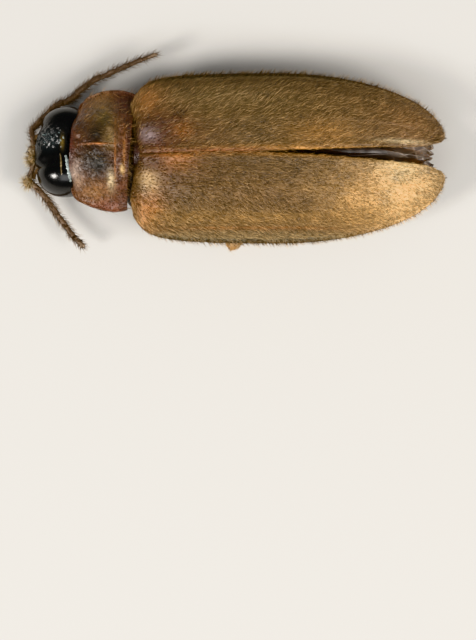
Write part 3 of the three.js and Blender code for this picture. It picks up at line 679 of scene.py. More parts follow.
for name, side in sides.items():
    makeElytron(name, side)
print("wing-cases ready")

# Forebody: the prothorax and head are turned to the animal's right and rolled that way

forebodyTurn = {"pivotY": 3.8, "pivotZ": 1.2, "yaw": -4.5, "roll": -4.5, "headRoll": -4.5, "headZ": 1.0}


def rolled(points, degrees, z):
    a = math.radians(degrees)
    moved = np.array(points, float)
    x, up = moved[..., 0].copy(), moved[..., 2] - z
    moved[..., 0] = x * math.cos(a) + up * math.sin(a)
    moved[..., 2] = z - x * math.sin(a) + up * math.cos(a)
    return moved


def turned(points, isHead=False):
    t = forebodyTurn
    moved = rolled(points, t["headRoll"], t["headZ"]) if isHead else np.array(points, float)
    moved = rolled(moved, t["roll"], t["pivotZ"])
    a = math.radians(t["yaw"])
    x, y = moved[..., 0].copy(), moved[..., 1] - t["pivotY"]
    moved[..., 0] = x * math.cos(a) - y * math.sin(a)
    moved[..., 1] = t["pivotY"] + x * math.sin(a) + y * math.cos(a)
    return moved


def wavyField(points, size, seed):
    # a smooth random field between about -1 and 1, with waves of one size
    rng = np.random.default_rng(seed)
    field = np.zeros(points.shape[:-1])
    waves = 14
    for _ in range(waves):
        direction = rng.normal(size=3)
        direction /= np.linalg.norm(direction)
        wavelength = size * rng.uniform(0.7, 1.4)
        field += np.sin(points @ direction * 2 * np.pi / wavelength + rng.uniform(0, 6.3))
    return field / math.sqrt(waves)


pronotumLook = {
    "frontY": 1.02, "length": 1.68, "frontHalfWidth": 1.32, "halfWidth": 1.74, "hindPinch": 0.1,
    "cornerRound": 0.32,
    "frontZ": 2.24, "midZ": 2.5, "backZ": 2.42, "sideDrop": 0.8, "thickness": 0.09, "columns": 150,
    "rows": 90,
    "ridges": ((0.77, 0.014, 0.045), (0.9, 0.012, 0.035)), "rimLift": 0.02, "hollowDepth": 0.06,
    "setae": {"hairs": (150, 0.27, 0.012), "lift": (16, 8), "stray": 26, "swirl": (60, 0.5), "curl": 0.3},
    "keelHeight": 0.05, "keelWidth": 0.01, "rough": ((0.014, 0.24, 5), (0.007, 0.09, 6)),
    "patch": (-0.12, 0.44, 1.8, 0.35), "patchDull": 0.6, "ground": "#5e3a28", "under": "#6c5240",
    "marks": [
        (-1.15, 1.85, 0.55, 0.6, "#7a5e3c", 0.85), (-1.5, 1.95, 0.3, 0.3, "#94724a", 0.7),
        (-1.0, 2.0, 0.35, 0.3, "#524a2a", 0.8), (0.15, 1.55, 0.5, 0.5, "#2e2216", 0.85),
        (-0.75, 1.35, 0.35, 0.3, "#46301f", 0.6), (-0.56, 1.76, 0.34, 0.34, "#15130a", 0.95),
        (-0.4, 2.15, 0.35, 0.2, "#7c6844", 0.8), (0.32, 1.85, 0.47, 0.42, "#121109", 0.98),
        (-0.25, 1.8, 0.025, 0.4, "#b4723a", 0.8), (0.1, 2.3, 0.8, 0.025, "#a87040", 0.7),
        # e0caa0 at (0.78, 2.18) is a painted highlight and #ecc684 at (0.46, 2.5) a painted glint; the
        # pinkish #c4ac9c and #a88c76 at the front left are painted shine
        (0.1, 2.55, 0.8, 0.04, "#9c6c3c", 0.7), (0.78, 2.18, 0.25, 0.1, "#e0caa0", 0.8),
        (0.46, 2.5, 0.12, 0.06, "#ecc684", 0.8), (0.5, 1.14, 0.26, 0.16, "#c4ac9c", 0.85),
        (0.75, 1.3, 0.18, 0.14, "#a88c76", 0.6), (1.05, 1.7, 0.3, 0.5, "#86603a", 0.85),
        # 5a3a2a and #46281a near the hind left corner are painted shade
        (1.5, 2.0, 0.2, 0.6, "#80503c", 0.8), (1.35, 2.5, 0.4, 0.16, "#5a3a2a", 0.7),
        (-0.3, 1.05, 0.9, 0.08, "#4d2620", 0.7), (-1.45, 2.5, 0.4, 0.25, "#4c281e", 0.8),
        (0.0, 2.68, 1.6, 0.06, "#2c150c", 0.85), (1.1, 2.6, 0.5, 0.16, "#46281a", 0.7),
        (-1.3, 1.3, 0.2, 0.2, "#6a4030", 0.6),
    ],
}


def pronotumOuter():
    p = pronotumLook
    u, v = np.meshgrid(np.linspace(0, 1, p["columns"]), np.linspace(0, 1, p["rows"]))
    across = 2 * u - 1
    widening = (p["halfWidth"] - p["frontHalfWidth"]) * np.sin(np.pi / 2 * np.clip(v / 0.75, 0, 1))
    halfWidth = p["frontHalfWidth"] + widening - p["cornerRound"] * (1 - np.clip(v / 0.2, 0, 1)) ** 2 \
        - p["hindPinch"] * past(v, 0.75, 1) ** 2
    slide = 0.5 - 0.5 * np.cos(2 * np.pi * v)
    ends = np.where(v < 0.5, p["frontZ"], p["backZ"])
    drop = 0.5 - 0.5 * np.cos(np.pi * np.abs(across) ** 1.6)
    z = ends + (p["midZ"] - ends) * slide - p["sideDrop"] * drop
    z += p["rimLift"] * (ridge(v, 0.0, 0.035) + ridge(np.abs(across), 1.0, 0.02))
    keel = ridge(across, 0.0, p["keelWidth"]) * ease(v, 0.12, 0.22) * (1 - ease(v, 0.66, 0.78))
    z += p["keelHeight"] * keel
    for place, width, height in p["ridges"]:
        bowed = v - place + 0.03 * np.abs(across) ** 2
        z += height * ridge(bowed, 0.0, width) * (1 - across ** 6)
    z -= p["hollowDepth"] * ridge(np.abs(across), 0.34, 0.2) * ridge(v, 0.48, 0.2)
    rounded = 0.15 * np.abs(across) ** 5 * (1 - np.clip(v / 0.25, 0, 1)) ** 2
    y = p["frontY"] + p["length"] * v + 0.05 * across ** 2 * v ** 3 + rounded
    grid = np.stack([across * halfWidth, y, z], axis=-1)
    inside = (1 - across ** 8) * ease(v, 0.0, 0.1) * (1 - ease(v, 0.92, 1.0))
    rough = sum(height * wavyField(grid, size, seed) for height, size, seed in p["rough"])
    grid[..., 2] += inside * rough
    return grid, v, across


# punctured prothorax chitin: glossy and uneven, with small glints between dark, half-clear patches
pronotumShell = shellFinish("glossy punctured prothorax chitin", {
    "mottle": (0.22, 0.42), "pits": (0.055, 0.5, 0.022), "wrinkles": (0.08, 1.1),
    "roughness": 0.34, "coat": (0.1, 0.2)})


def makePronotum():
    p = pronotumLook
    outer, v, across = pronotumOuter()
    thickness = p["thickness"] * (1 - 0.4 * np.abs(across) ** 8)
    skin, normal = plateSkin("pronotumShell", turned(outer), thickness)
    # the two dark patches, one on each side of the keel, are smoother and duller
    middle, apart, patchY, reach = p["patch"]
    points = bodyPoints(skin)
    patches = ridge(np.abs(points[:, 0] - middle), apart, reach) * ridge(points[:, 1], patchY, reach)
    paint(skin, p["ground"], p["marks"], 1, p["under"], 1 - p["patchDull"] * patches)
    swing = np.radians(40 * across)
    lie = np.stack([np.sin(swing), np.cos(swing), np.zeros_like(swing)], axis=-1).reshape(-1, 3)
    lie = levelled(lie, normal)
    rim = np.maximum(ease(np.abs(across), 0.94, 1.0), ease(v, 0.9, 1.0)).ravel()
    front = 1 - ease(v, 0.02, 0.1).ravel()
    growFur(skin, lie, 0.8 + 0.1 * rim, (0.5 + 0.9 * rim) * (1 - front))
    dress(skin, pronotumShell, "pronotum", "pronotum")
    coatOver("pronotumSetae", [skin], goldenSetae, "pronotum", p["setae"], 21)


makePronotum()

prosternumLook = {
    "sections": ((1.6, 0.8, 1.12, 2.0), (2.2, 1.16, 0.96, 2.2), (2.72, 1.12, 1.02, 2.16)),
    "hindRidge": (0.05, 2.5, 0.1), "ground": "#3d1f12",
    "marks": [(0, 2.6, 0.35, 0.1, "#b59a60", 0.8), (0, 2.1, 0.5, 0.3, "#2a1508", 0.8),
              (0.2, 2.3, 0.2, 0.2, "#6e2c12", 0.7),
              (0.9, 2.2, 0.3, 0.4, "#7a5238", 0.7), (-0.9, 2.2, 0.3, 0.4, "#7a5238", 0.7)],
}
thoraxLook = {
    "middle": ((2.8, 0.9, 1.05, 2.0), (3.3, 1.25, 0.98, 2.04), (4.18, 1.56, 0.92, 2.08)),
    "hind": ((4.1, 1.58, 0.9, 2.08), (5.0, 1.76, 0.82, 2.1), (6.3, 1.66, 0.9, 1.75)),
    "roughSeeds": {"middle": 9, "hind": 10}, "nodes": {"middle": "mesothorax", "hind": "metathorax"},
    "setae": {"hairs": (230, 0.26, 0.014), "lift": (16, 8), "stray": 22, "swirl": (50, 0.5), "curl": 0.35},
    "ground": "#3c2a1c", "under": "#80572c",
    "underMarks": [
        (0, 5.6, 0.25, 0.35, "#c9a284", 0.8), (0.25, 5.55, 0.2, 0.3, "#b08058", 0.6),
        (0, 5.95, 1.7, 0.14, "#b8742e", 0.8),
        (0.95, 4.9, 0.4, 0.6, "#5e3d22", 0.6), (-0.95, 4.9, 0.4, 0.6, "#5e3d22", 0.6),
        (0, 3.4, 0.9, 0.35, "#5a2a14", 0.8), (0.5, 3.1, 0.2, 0.3, "#c0a070", 0.7),
        (-0.5, 3.1, 0.2, 0.3, "#c0a070", 0.6),
        (0, 4.25, 0.35, 0.2, "#a0643c", 0.7), (1.45, 5.2, 0.2, 0.8, "#8c6c44", 0.7),
        (-1.45, 5.2, 0.2, 0.8, "#8c6c44", 0.7),
    ],
}
# body chitin: satin brown, half clear, with a soft gloss on its swellings
bodyShell = shellFinish("satin body chitin", {
    "mottle": (0.3, 0.3), "pits": (0.06, 0.25, 0.015), "wrinkles": (0.06, 0.7),
    "roughness": 0.38, "coat": (0.2, 0.25), "glow": 0.1})
# soft straw setae: a fine silky down that turns the brown below it golden
bodySetae = hairFinish("soft straw setae", {
    "root": "#a07e52", "tip": "#e6caa0", "gold": 0.6, "dark": 0.65, "bright": 1.7, "roughness": 0.4})


def makeThorax():
    p, t = prosternumLook, thoraxLook
    rings = roundedLoft(p["sections"], 48, 24)
    below = rings[..., 2] < 1.5
    height, middle, width = p["hindRidge"]
    shape = height * ridge(rings[..., 1], middle, width) + 0.02 * wavyField(rings, 0.3, 8)
    rings[..., 2] += np.where(below, shape, 0)
    skin = furred("prosternumShell", rings, p["ground"], p["marks"], (0.7, 0.4), turned)
    dress(skin, pronotumShell, "prosternum", "prosternum")
    skins = [skin]
    for part, seed in t["roughSeeds"].items():
        rings = roundedLoft(t[part], 72, 44)
        across, y, under = np.abs(rings[..., 0]), rings[..., 1], rings[..., 2] < 1.4
        # each form is (height, where it runs, its middle, its width)
        if part == "hind":
            forms = ((0.06, y, 5.98 - 0.12 * across, 0.03),  # the seam before the hind coxae
                     (0.05, across - 0.12 * (y - 4.1), 1.15, 0.03))  # the side seam
            swelling = 0.12 * ridge(across, 0.55, 0.4) * ridge(y, 5.1, 0.7)
            groove = 0.08 * ridge(across, 0.0, 0.035) * ease(y, 4.5, 5.0)
        else:
            forms = ((0.06, across - 0.5 * (y - 2.8), 0.1, 0.05),
                     (0.05, across + 0.7 * (y - 2.8), 1.25, 0.04))
            swelling = groove = 0
        shape = 0.014 * wavyField(rings, 0.25, seed) - swelling + groove
        for height, at, middle, width in forms:
            shape += height * ridge(at, middle, width)
        rings[..., 2] += np.where(under, shape, 0.4 * shape)
        skin = wrapSkin(f"{part}ThoraxShell", rings)
        points = bodyPoints(skin)
        low = ease(1.5 - points[:, 2], -0.1, 0.2)
        paint(skin, t["under"], t["underMarks"])
        blendTone(skin, 1 - low, t["ground"])
        # the down runs back and away from the midline
        away = np.stack([0.45 * points[:, 0], np.ones(len(points)), np.zeros(len(points))], axis=1)
        growFur(skin, away, 1.0, low)
        dress(skin, bodyShell, "thorax", t["nodes"][part])
        skins.append(skin)
    coatOver("thoraxSetae", skins, bodySetae, "thorax", t["setae"], 31)


# the dark skin between the prothorax and the wing-cases' front edge
collarLook = {"centre": (0, 2.75, 1.45), "radii": (1.4, 0.3, 0.45), "ground": "#1e110b"}


def makeCollar():
    collar = wrapSkin("thoraxCollar", ballRings(collarLook["centre"], collarLook["radii"], 48, 24))
    paint(collar, collarLook["ground"], [])
    dress(collar, bodyShell, "thorax")


makeThorax()
makeCollar()

scutellumLook = {
    "frontY": 2.8, "length": 0.62, "halfWidth": 0.34, "topZ": 2.42, "bottomZ": 2.0, "endDrop": 0.1,
    "ground": "#2e1c16", "marks": [(0, 3.0, 0.2, 0.1, "#4c2c22", 0.6)],
}


def makeScutellum():
    c = scutellumLook
    t = np.linspace(0, 1, 16)
    halfWidth = c["halfWidth"] * (1 - 0.92 * t ** 1.7)
    y = c["frontY"] + c["length"] * t
    top = c["topZ"] - c["endDrop"] * t ** 2 - c["endDrop"] * (1 - t) ** 3
    sections = np.stack([y, halfWidth, np.full(len(t), c["bottomZ"]), top], axis=1)
    skin = wrapSkin("scutellumShell", roundedLoft(sections, 32, 20, 2.0))
    paint(skin, c["ground"], c["marks"])
    dress(skin, pronotumShell, "scutellum", "scutellum")


makeScutellum()
print("thorax ready")

# Head

headLook = {
    "capsule": ((-0.08, 0.83, 1.1), (0.98, 0.83, 0.68)), "eye": ((0.7, 0.88, 1.0), (0.6, 0.76, 0.74)),
    "neck": ((0, 1.5, 1.5), (0.95, 0.5, 0.6)), "join": 0.06, "throat": 0.85,
    "wrinkled": (-0.24, 0.5, 0.3, 0.42), "wrinkleHeight": 0.036, "wrinkleSize": 0.13,
    "hollowDepth": 0.05, "brow": 0.1, "paintedGlintSize": 0.13, "paintedGlintTone": "#b8ccca",
    "neckGround": "#1c120c", "headGround": "#0c0c0c", "eyeGround": "#070707",
    # the grey-blue mark over the wrinkled frons is painted sheen; the olive-gold strip behind it is the
    # head's own colour
    "headMarks": [(-0.42, 0.8, 0.17, 0.05, "#8a7238", 0.85), (-0.5, 0.4, 0.25, 0.3, "#2a3234", 0.7)],
    # each rim is (name, route, size, ground, highlight); the highlight colour is painted, and so is the
    # grey-blue of the hind rim, as a painted reflection
    "rims": [
        ("headHindRim", ((0.3, 0.9), (0.46, 0.96), (0.64, 1.0), (0.86, 1.06), (1.04, 1.1)),
         0.13, "#79827f", "#ccd8d6"),
        ("headInnerRim", ((0.26, 0.74), (0.42, 0.78), (0.6, 0.8), (0.82, 0.83), (1.0, 0.86)),
         0.045, "#5a4c38", "#a8946c")],
}
# polished head chitin: black and wet-looking, with hard broken glints where it is wrinkled
headShell = shellFinish("polished black head chitin", {
    "mottle": (0.3, 0.2), "pits": (0.07, 0.2, 0.02), "wrinkles": (0.1, 2.2),
    "roughness": 0.06, "coat": (1.0, 0.06)})
# eye lens: smooth, nearly black, with a broad soft highlight from its fine facets
eyeLens = shellFinish("smooth facetted eye lens", {
    "mottle": (0.5, 0.1), "pits": (0.028, 0.1, 0.001), "wrinkles": (0.3, 0.1),
    "roughness": 0.19, "coat": (0.2, 0.1)})
# mouthpart cuticle: dull, tan and uneven
mouthShell = shellFinish("dull tan mouthpart cuticle", {
    "mottle": (0.15, 0.35), "pits": (0.05, 0.4, 0.014), "wrinkles": (0.05, 0.8),
    "roughness": 0.45})
# head rim: a thin horny edge, glossy, with its pale parts a painted reflection of the light
rimShell = shellFinish("glossy horn rim painted with its reflection", {
    "mottle": (0.06, 0.5), "pits": (0.05, 0.4, 0.012), "wrinkles": (0.05, 0.8),
    "roughness": 0.2, "coat": (0.5, 0.1)})
# pale bristles: straw-coloured and dry, standing off the dark head
paleSetae = hairFinish("pale straw bristles", {
    "root": "#a08662", "tip": "#e8d8b4", "gold": 0.85, "dark": 0.8, "bright": 1.5, "roughness": 0.4})


def headTop(x, y, crown):
    # the upper face of the head before it is turned: the crown's height, joined smoothly to the eyes
    h = headLook
    (eyeX, eyeY, eyeZ), (reachX, reachY, reachZ) = h["eye"]
    total = np.exp(crown / h["join"])
    for side in sides.values():
        inside = 1 - ((x - side * eyeX) / reachX) ** 2 - ((y - eyeY) / reachY) ** 2
        lens = eyeZ + reachZ * np.sqrt(np.clip(inside, 0, None))
        total = total + np.where(inside > 0, np.exp(lens / h["join"]), 0)
    return h["join"] * np.log(total) - 0.004


def headRim(name, places, size, code, tone):
    centre, radii = headLook["capsule"]
    route = []
    for x, y in places:
        inside = max(0, 1 - ((x - centre[0]) / radii[0]) ** 2 - ((y - centre[1]) / radii[1]) ** 2)
        route.append((x, y, headTop(x, y, centre[2] + radii[2] * math.sqrt(inside)) - 0.02 * size))
    # an uneven, beaded edge, flatter than wide, that runs out at both ends
    uneven = lambda t: 1 + 0.14 * np.sin(41 * t) + 0.1 * np.sin(67 * t)
    wide = lambda t: size * uneven(t) * (0.3 + 0.7 * np.sin(np.pi * t) ** 0.5)
    rim = wrapSkin(name, turned(tubeRings(route, wide, lambda t: 0.4 * wide(t), 12, 70), True))
    # the paler mark near the middle of each rim is a painted highlight, and the grey-blue ground of the
    # hind rim a painted reflection
    paint(rim, code, [(0.25, 0.9, 0.3, 0.3, tone, 0.8)])
    return dress(rim, rimShell, "head")


def makeHead():
    h = headLook
    centre, radii = h["capsule"]
    rings = ballRings(centre, radii, 150, 110)
    out = unit(rings - np.array(centre))
    x, y, up = rings[..., 0], rings[..., 1], out[..., 2]
    cx, cy, reachX, reachY = h["wrinkled"]
    rough = ridge(x, cx, reachX) * ridge(y, cy, reachY) * ease(up, 0.0, 0.3)
    wrinkles = h["wrinkleHeight"] * wavyField(rings * np.array([1, 1.5, 1]), h["wrinkleSize"], 12) * rough
    hollow = -h["hollowDepth"] * ridge(x, 0.12, 0.2) * ridge(y, 0.45, 0.4) * ease(up, 0, 0.4)
    shaped = rings + out * (wrinkles + hollow)[..., None]
    # the brow fills the corner between the crown and the left eye
    shaped[..., 1] -= h["brow"] * ridge(x, 0.42, 0.2) * ease(0.6 - y, 0.0, 0.4)
    merged = headTop(shaped[..., 0], shaped[..., 1], shaped[..., 2])
    shaped[..., 2] += (merged - shaped[..., 2]) * ease(up, 0.0, 0.25)
    # between the eyes the throat is drawn up, so that they nearly meet below
    drawn = h["throat"] * (centre[2] - rings[..., 2]) * ease(y, 0.35, 0.75)
    shaped[..., 2] += np.where(up < 0, drawn, 0)
    skin = wrapSkin("headShell", turned(shaped, True))
    paint(skin, h["headGround"], h["headMarks"], 1, h["headGround"], np.append(rough.ravel(), [0, 0]))
    # pale specks on the wrinkles are painted glints
    paintedGlints = ease(wavyField(rings * np.array([1.3, 1, 1]), h["paintedGlintSize"], 13), 0.9, 1.5)
    blendTone(skin, 0.8 * paintedGlints * ease(rough, 0.35, 0.75), h["paintedGlintTone"])
    dress(skin, headShell, "head", "head_capsule")
    # the dark skin of the neck closes the space below the front edge of the prothorax
    neck = wrapSkin("neckMembrane", turned(ballRings(*h["neck"], 48, 28)))
    paint(neck, h["neckGround"], [])
    dress(neck, bodyShell, "head")
    for name, side in sides.items():
        (x, y, z), radii = h["eye"]
        lens = ballRings((side * x, y, z), radii, 72, 52)
        eye = wrapSkin(f"eye{name.title()}Lens", turned(lens, True))
        paint(eye, h["eyeGround"], [])
        dress(eye, eyeLens, "eye", f"eye_{name}")
    for name, *rim in h["rims"]:
        headRim(name, *rim)


mouthLook = {
    "lips": ((0, 0.14, 0.62), (0.36, 0.32, 0.25)), "lipMarks": [(-0.1, -0.05, 0.25, 0.15, "#b08a58", 0.6)],
    "setae": {"hairs": (260, 0.16, 0.012), "lift": (50, 8), "stray": 40, "swirl": (30, 0.3), "curl": 0.2},
    "jawWidth": 0.13, "palpWidth": 0.1, "hatchet": (0.2, 0.85, 0.1),
    "ground": "#4a3220", "jawGround": "#2a1410", "palpGround": "#86663f",
    "mandible": ((0.26, 0.17, 0.5), (0.27, -0.12, 0.44), (0.04, -0.28, 0.42)),
    "palp": ((0.28, 0.32, 0.44), (0.4, 0.14, 0.38), (0.5, 0.02, 0.34), (0.62, -0.12, 0.32)),
}


def makeMouth():
    m = mouthLook
    centre, radii = m["lips"]
    rings = ballRings(centre, radii, 32, 20)
    rings += unit(rings - np.array(centre)) * (0.05 * wavyField(rings, 0.16, 14))[..., None]
    lips = wrapSkin("mouthLips", turned(rings, True))
    paint(lips, m["ground"], m["lipMarks"])
    growFur(lips, alongSkin(rings[::-1]))
    dress(lips, mouthShell, "mouth", "mouthparts")
    # the palp's last joint is a broad hatchet
    thin, (extra, at, reach) = m["palpWidth"], m["hatchet"]
    joints = lambda t: np.abs(np.sin(3 * np.pi * t))
    broad = lambda t: (thin + 0.04 * joints(t) + extra * ridge(t, at, reach)) * (1 - t ** 12) + 0.01
    deep = lambda t: (thin + 0.03 * joints(t)) * (1 - t ** 12) + 0.01
    taper = lambda t: m["jawWidth"] * (1 - 0.85 * t)
    skins = [lips]
    for name, side in sides.items():
        route = np.array(m["mandible"]) * [side, 1, 1] - [0, 0, 0.03 * side]
        jaw = wrapSkin(f"mandible{name.title()}", turned(tubeRings(route, taper, taper, 14, 16), True))
        paint(jaw, m["jawGround"], [])
        dress(jaw, headShell, "mouth")
        rings = tubeRings(np.array(m["palp"]) * [side, 1, 1], broad, deep, 18, 36)
        skins.append(furred(
            f"palp{name.title()}Joints", rings, m["palpGround"], (),
            (0.5, 0.7), lambda given: turned(given, True)))
        dress(skins[-1], mouthShell, "palp", f"palp_{name}")
    coatOver("mouthSetae", skins, paleSetae, "mouth", m["setae"], 41)


makeHead()
makeMouth()
print("head ready")

# Jointed limbs: segments set along a route, each swelling towards its far end

def jointedTree():
    tree, given = newTree("jointedLimb", ("Width", "Neck", "Tip", "Flatness"), "Joints")
    line = addNode(tree, "GeometryNodeMeshToCurve", {0: given["Geometry"]})
    stops = addNode(tree, "ShaderNodeMath", {0: given["Joints"], 1: 1.0}, operation="ADD")
    even = addNode(tree, "GeometryNodeResampleCurve", {"Curve": line, "Count": stops})
    places = addNode(tree, "GeometryNodeCurveToPoints", {0: even}, mode="EVALUATED")
    ahead = places.node.outputs["Tangent"]
    reach = addNode(tree, "GeometryNodeCurveLength", {0: line})
    order = addNode(tree, "GeometryNodeInputIndex")
    along = addNode(tree, "ShaderNodeMath", {0: order, 1: given["Joints"]}, operation="DIVIDE")
    points = addNode(tree, "GeometryNodeStoreNamedAttribute", {
        "Geometry": places, "Name": "lie", "Value": ahead}, data_type="FLOAT_VECTOR", domain="POINT")
    points = addNode(tree, "GeometryNodeStoreNamedAttribute", {
        "Geometry": points, "Name": "jointAt", "Value": along}, data_type="FLOAT", domain="POINT")

    # one segment: a short barrel with a narrow neck and a rounded far end
    sideCount = 14
    barrel = addNode(tree, "GeometryNodeMeshCylinder", {
        "Vertices": sideCount, "Side Segments": 8, "Fill Segments": 1, "Radius": 1.0, "Depth": 1.0},
        fill_type="TRIANGLE_FAN")
    own = addNode(tree, "GeometryNodeInputPosition")
    ownX, ownY, ownZ = addNode(tree, "ShaderNodeSeparateXYZ", {0: own}).node.outputs
    t = addNode(tree, "ShaderNodeMath", {0: ownZ, 1: 0.5}, operation="ADD")
    opened = addNode(tree, "ShaderNodeMath", {0: t, 1: 0.7}, operation="POWER")
    spare = addNode(tree, "ShaderNodeMath", {0: 1.0, 1: given["Neck"]}, operation="SUBTRACT")
    swell = addNode(tree, "ShaderNodeMath", {
        0: spare, 1: opened, 2: given["Neck"]}, operation="MULTIPLY_ADD")
    end = addNode(tree, "ShaderNodeMapRange", {"Value": t, "From Min": 0.8, "From Max": 1.0})
    cubed = addNode(tree, "ShaderNodeMath", {0: end, 1: 3.0}, operation="POWER")
    closing = addNode(tree, "ShaderNodeMath", {0: cubed, 1: -0.45, 2: 1.0}, operation="MULTIPLY_ADD")
    girth = addNode(tree, "ShaderNodeMath", {0: swell, 1: closing}, operation="MULTIPLY")
    shapedX, shapedY = [addNode(tree, "ShaderNodeMath", {
        0: share, 1: girth}, operation="MULTIPLY") for share in (ownX, ownY)]
    shaped = addNode(tree, "ShaderNodeCombineXYZ", {0: shapedX, 1: shapedY, 2: t})
    marked = addNode(tree, "GeometryNodeStoreNamedAttribute", {
        "Geometry": barrel, "Name": "barrelAt", "Value": t}, data_type="FLOAT", domain="POINT")
    segment = addNode(tree, "GeometryNodeSetPosition", {"Geometry": marked, "Position": shaped})
    smooth = addNode(tree, "GeometryNodeSetShadeSmooth", {0: segment})

    # the segments in a row, the last ones slimmer
    late = addNode(tree, "ShaderNodeMath", {0: along, 1: 2.0}, operation="POWER")
    thinning = addNode(tree, "ShaderNodeMath", {0: given["Tip"], 1: 1.0}, operation="SUBTRACT")
    taper = addNode(tree, "ShaderNodeMath", {0: thinning, 1: late, 2: 1.0}, operation="MULTIPLY_ADD")
    radius = addNode(tree, "ShaderNodeMath", {0: given["Width"], 1: 0.5}, operation="MULTIPLY")
    wide = addNode(tree, "ShaderNodeMath", {0: radius, 1: taper}, operation="MULTIPLY")
    broad = addNode(tree, "ShaderNodeMath", {0: wide, 1: given["Flatness"]}, operation="MULTIPLY")
    step = addNode(tree, "ShaderNodeMath", {0: reach, 1: given["Joints"]}, operation="DIVIDE")
    lapped = addNode(tree, "ShaderNodeMath", {0: step, 1: 1.06}, operation="MULTIPLY")
    size = addNode(tree, "ShaderNodeCombineXYZ", {0: broad, 1: wide, 2: lapped})
    facing = addNode(tree, "FunctionNodeAxesToRotation", {
        "Primary Axis": ahead, "Secondary Axis": (0.0, 0.0, 1.0)}, primary_axis="Z", secondary_axis="X")
    started = addNode(tree, "ShaderNodeMath", {0: order, 1: given["Joints"]}, operation="LESS_THAN")
    limb = addNode(tree, "GeometryNodeInstanceOnPoints", {
        "Points": points, "Selection": started, "Instance": smooth, "Rotation": facing, "Scale": size})
    real = addNode(tree, "GeometryNodeRealizeInstances", {"Geometry": limb})

    # the share along the whole limb, for its colour and its map
    jointAt, barrelAt = [addNode(tree, "GeometryNodeInputNamedAttribute", {
        "Name": name}, data_type="FLOAT") for name in ("jointAt", "barrelAt")]
    part = addNode(tree, "ShaderNodeMath", {0: barrelAt, 1: given["Joints"]}, operation="DIVIDE")
    total = addNode(tree, "ShaderNodeMath", {0: jointAt, 1: part}, operation="ADD")
    real = addNode(tree, "GeometryNodeStoreNamedAttribute", {
        "Geometry": real, "Name": "along", "Value": total}, data_type="FLOAT", domain="POINT")
    turns = addNode(tree, "ShaderNodeMath", {0: order, 1: float(sideCount)}, operation="DIVIDE")
    around = addNode(tree, "ShaderNodeMath", {0: turns}, operation="FRACT")
    onMap = addNode(tree, "ShaderNodeCombineXYZ", {0: around, 1: total})
    mapped = addNode(tree, "GeometryNodeStoreNamedAttribute", {
        "Geometry": real, "Name": "skinMap", "Value": onMap}, data_type="FLOAT2", domain="CORNER")
    return finishTree(tree, mapped, given)


jointed = jointedTree()


def jointedLimb(name, route, joints, width, finish, tones, neck=0.6, tip=0.6, flatness=1.0):
    # tones is a list of (share along the limb, colour)
    line = bpy.data.meshes.new(name + "Route")
    places = toFrame(smoothRoute(route, 60))
    line.from_pydata(places.tolist(), [(i, i + 1) for i in range(len(places) - 1)], [])
    carrier = placed(name + "Route", line)
    limb = plainMeshOf(carrier, jointed, {
        "Width": width * mm, "Neck": neck, "Tip": tip, "Flatness": flatness, "Joints": joints,
        "Finish": finish}, name)
    bpy.data.objects.remove(carrier)
    along = readAll(limb.data.attributes["along"].data, "value", 1)[:, 0]
    stops = [s for s, _ in tones]
    colours = np.array([linearColour(c) for _, c in tones])
    tone = np.stack([np.interp(along, stops, colours[:, k]) for k in range(4)], axis=1)
    setAttribute(limb, "tone", "FLOAT_COLOR", tone)
    for size in ("furLength", "furDensity"):
        setAttribute(limb, size, "FLOAT", np.ones(len(along)))
    return limb


# limb cuticle: matt, finely pitted brown, never glossy
limbShell = shellFinish("matt bristly limb cuticle", {
    "mottle": (0.12, 0.35), "pits": (0.04, 0.3, 0.01), "wrinkles": (0.03, 0.6),
    "roughness": 0.55})
# short brown bristles: a rough edge of slightly paler strokes on the dark limbs
darkSetae = hairFinish("short brown bristles", {
    "root": "#4c3a2a", "tip": "#a88a68", "gold": 0.65, "dark": 0.6, "bright": 1.8, "roughness": 0.5})

antennaLook = {
    "scapeWidth": 0.16, "tones": ((0.0, "#77614c"), (0.9, "#665240"), (1.0, "#8c7862")),
    "right": {
        "scape": ((-0.44, -0.03, 1.05), (-0.66, -0.1, 1.0), (-0.86, -0.1, 0.9)),
        "flagellum": (
            (-0.88, -0.08, 0.88), (-1.07, 0.11, 0.75), (-1.43, 0.39, 0.58), (-1.64, 0.76, 0.5),
            (-1.97, 1.18, 0.52), (-2.17, 1.42, 0.56), (-2.44, 1.97, 0.65), (-2.77, 2.75, 0.8),
            (-3.0, 3.43, 0.95)),
        "width": 0.19, "joints": 10, "tip": 0.55,
        "nodes": [f"antenna_right_flagellum_{i}" for i in (1, 2, 3)]},
    "left": {
        "scape": ((0.07, -0.03, 1.05), (0.32, -0.14, 1.0), (0.6, -0.16, 0.9)),
        "flagellum": (
            (0.62, -0.12, 0.88), (0.73, 0.03, 0.75), (1.35, 0.51, 0.55), (2.16, 1.1, 0.6),
            (2.39, 1.40, 0.7)),
        "width": 0.18, "joints": 6, "tip": 0.85, "nodes": ["antenna_left_flagellum"]},
    "knuckles": (((-0.02, -0.06, 1.1), (0.14, 0.13, 0.12)), ((0.64, -0.19, 0.92), (0.13, 0.13, 0.12))),
    "knuckleGround": "#9a8058", "scapeNeck": 0.7, "flagellumNeck": 0.72,
    "setae": {"hairs": (460, 0.2, 0.016), "lift": (48, 18), "stray": 26, "swirl": (10, 0.5), "curl": 0.2},
    "brushes": {"hairs": (900, 0.2, 0.018), "lift": (55, 25), "stray": 90, "swirl": (10, 0.3), "curl": 0.2},
}


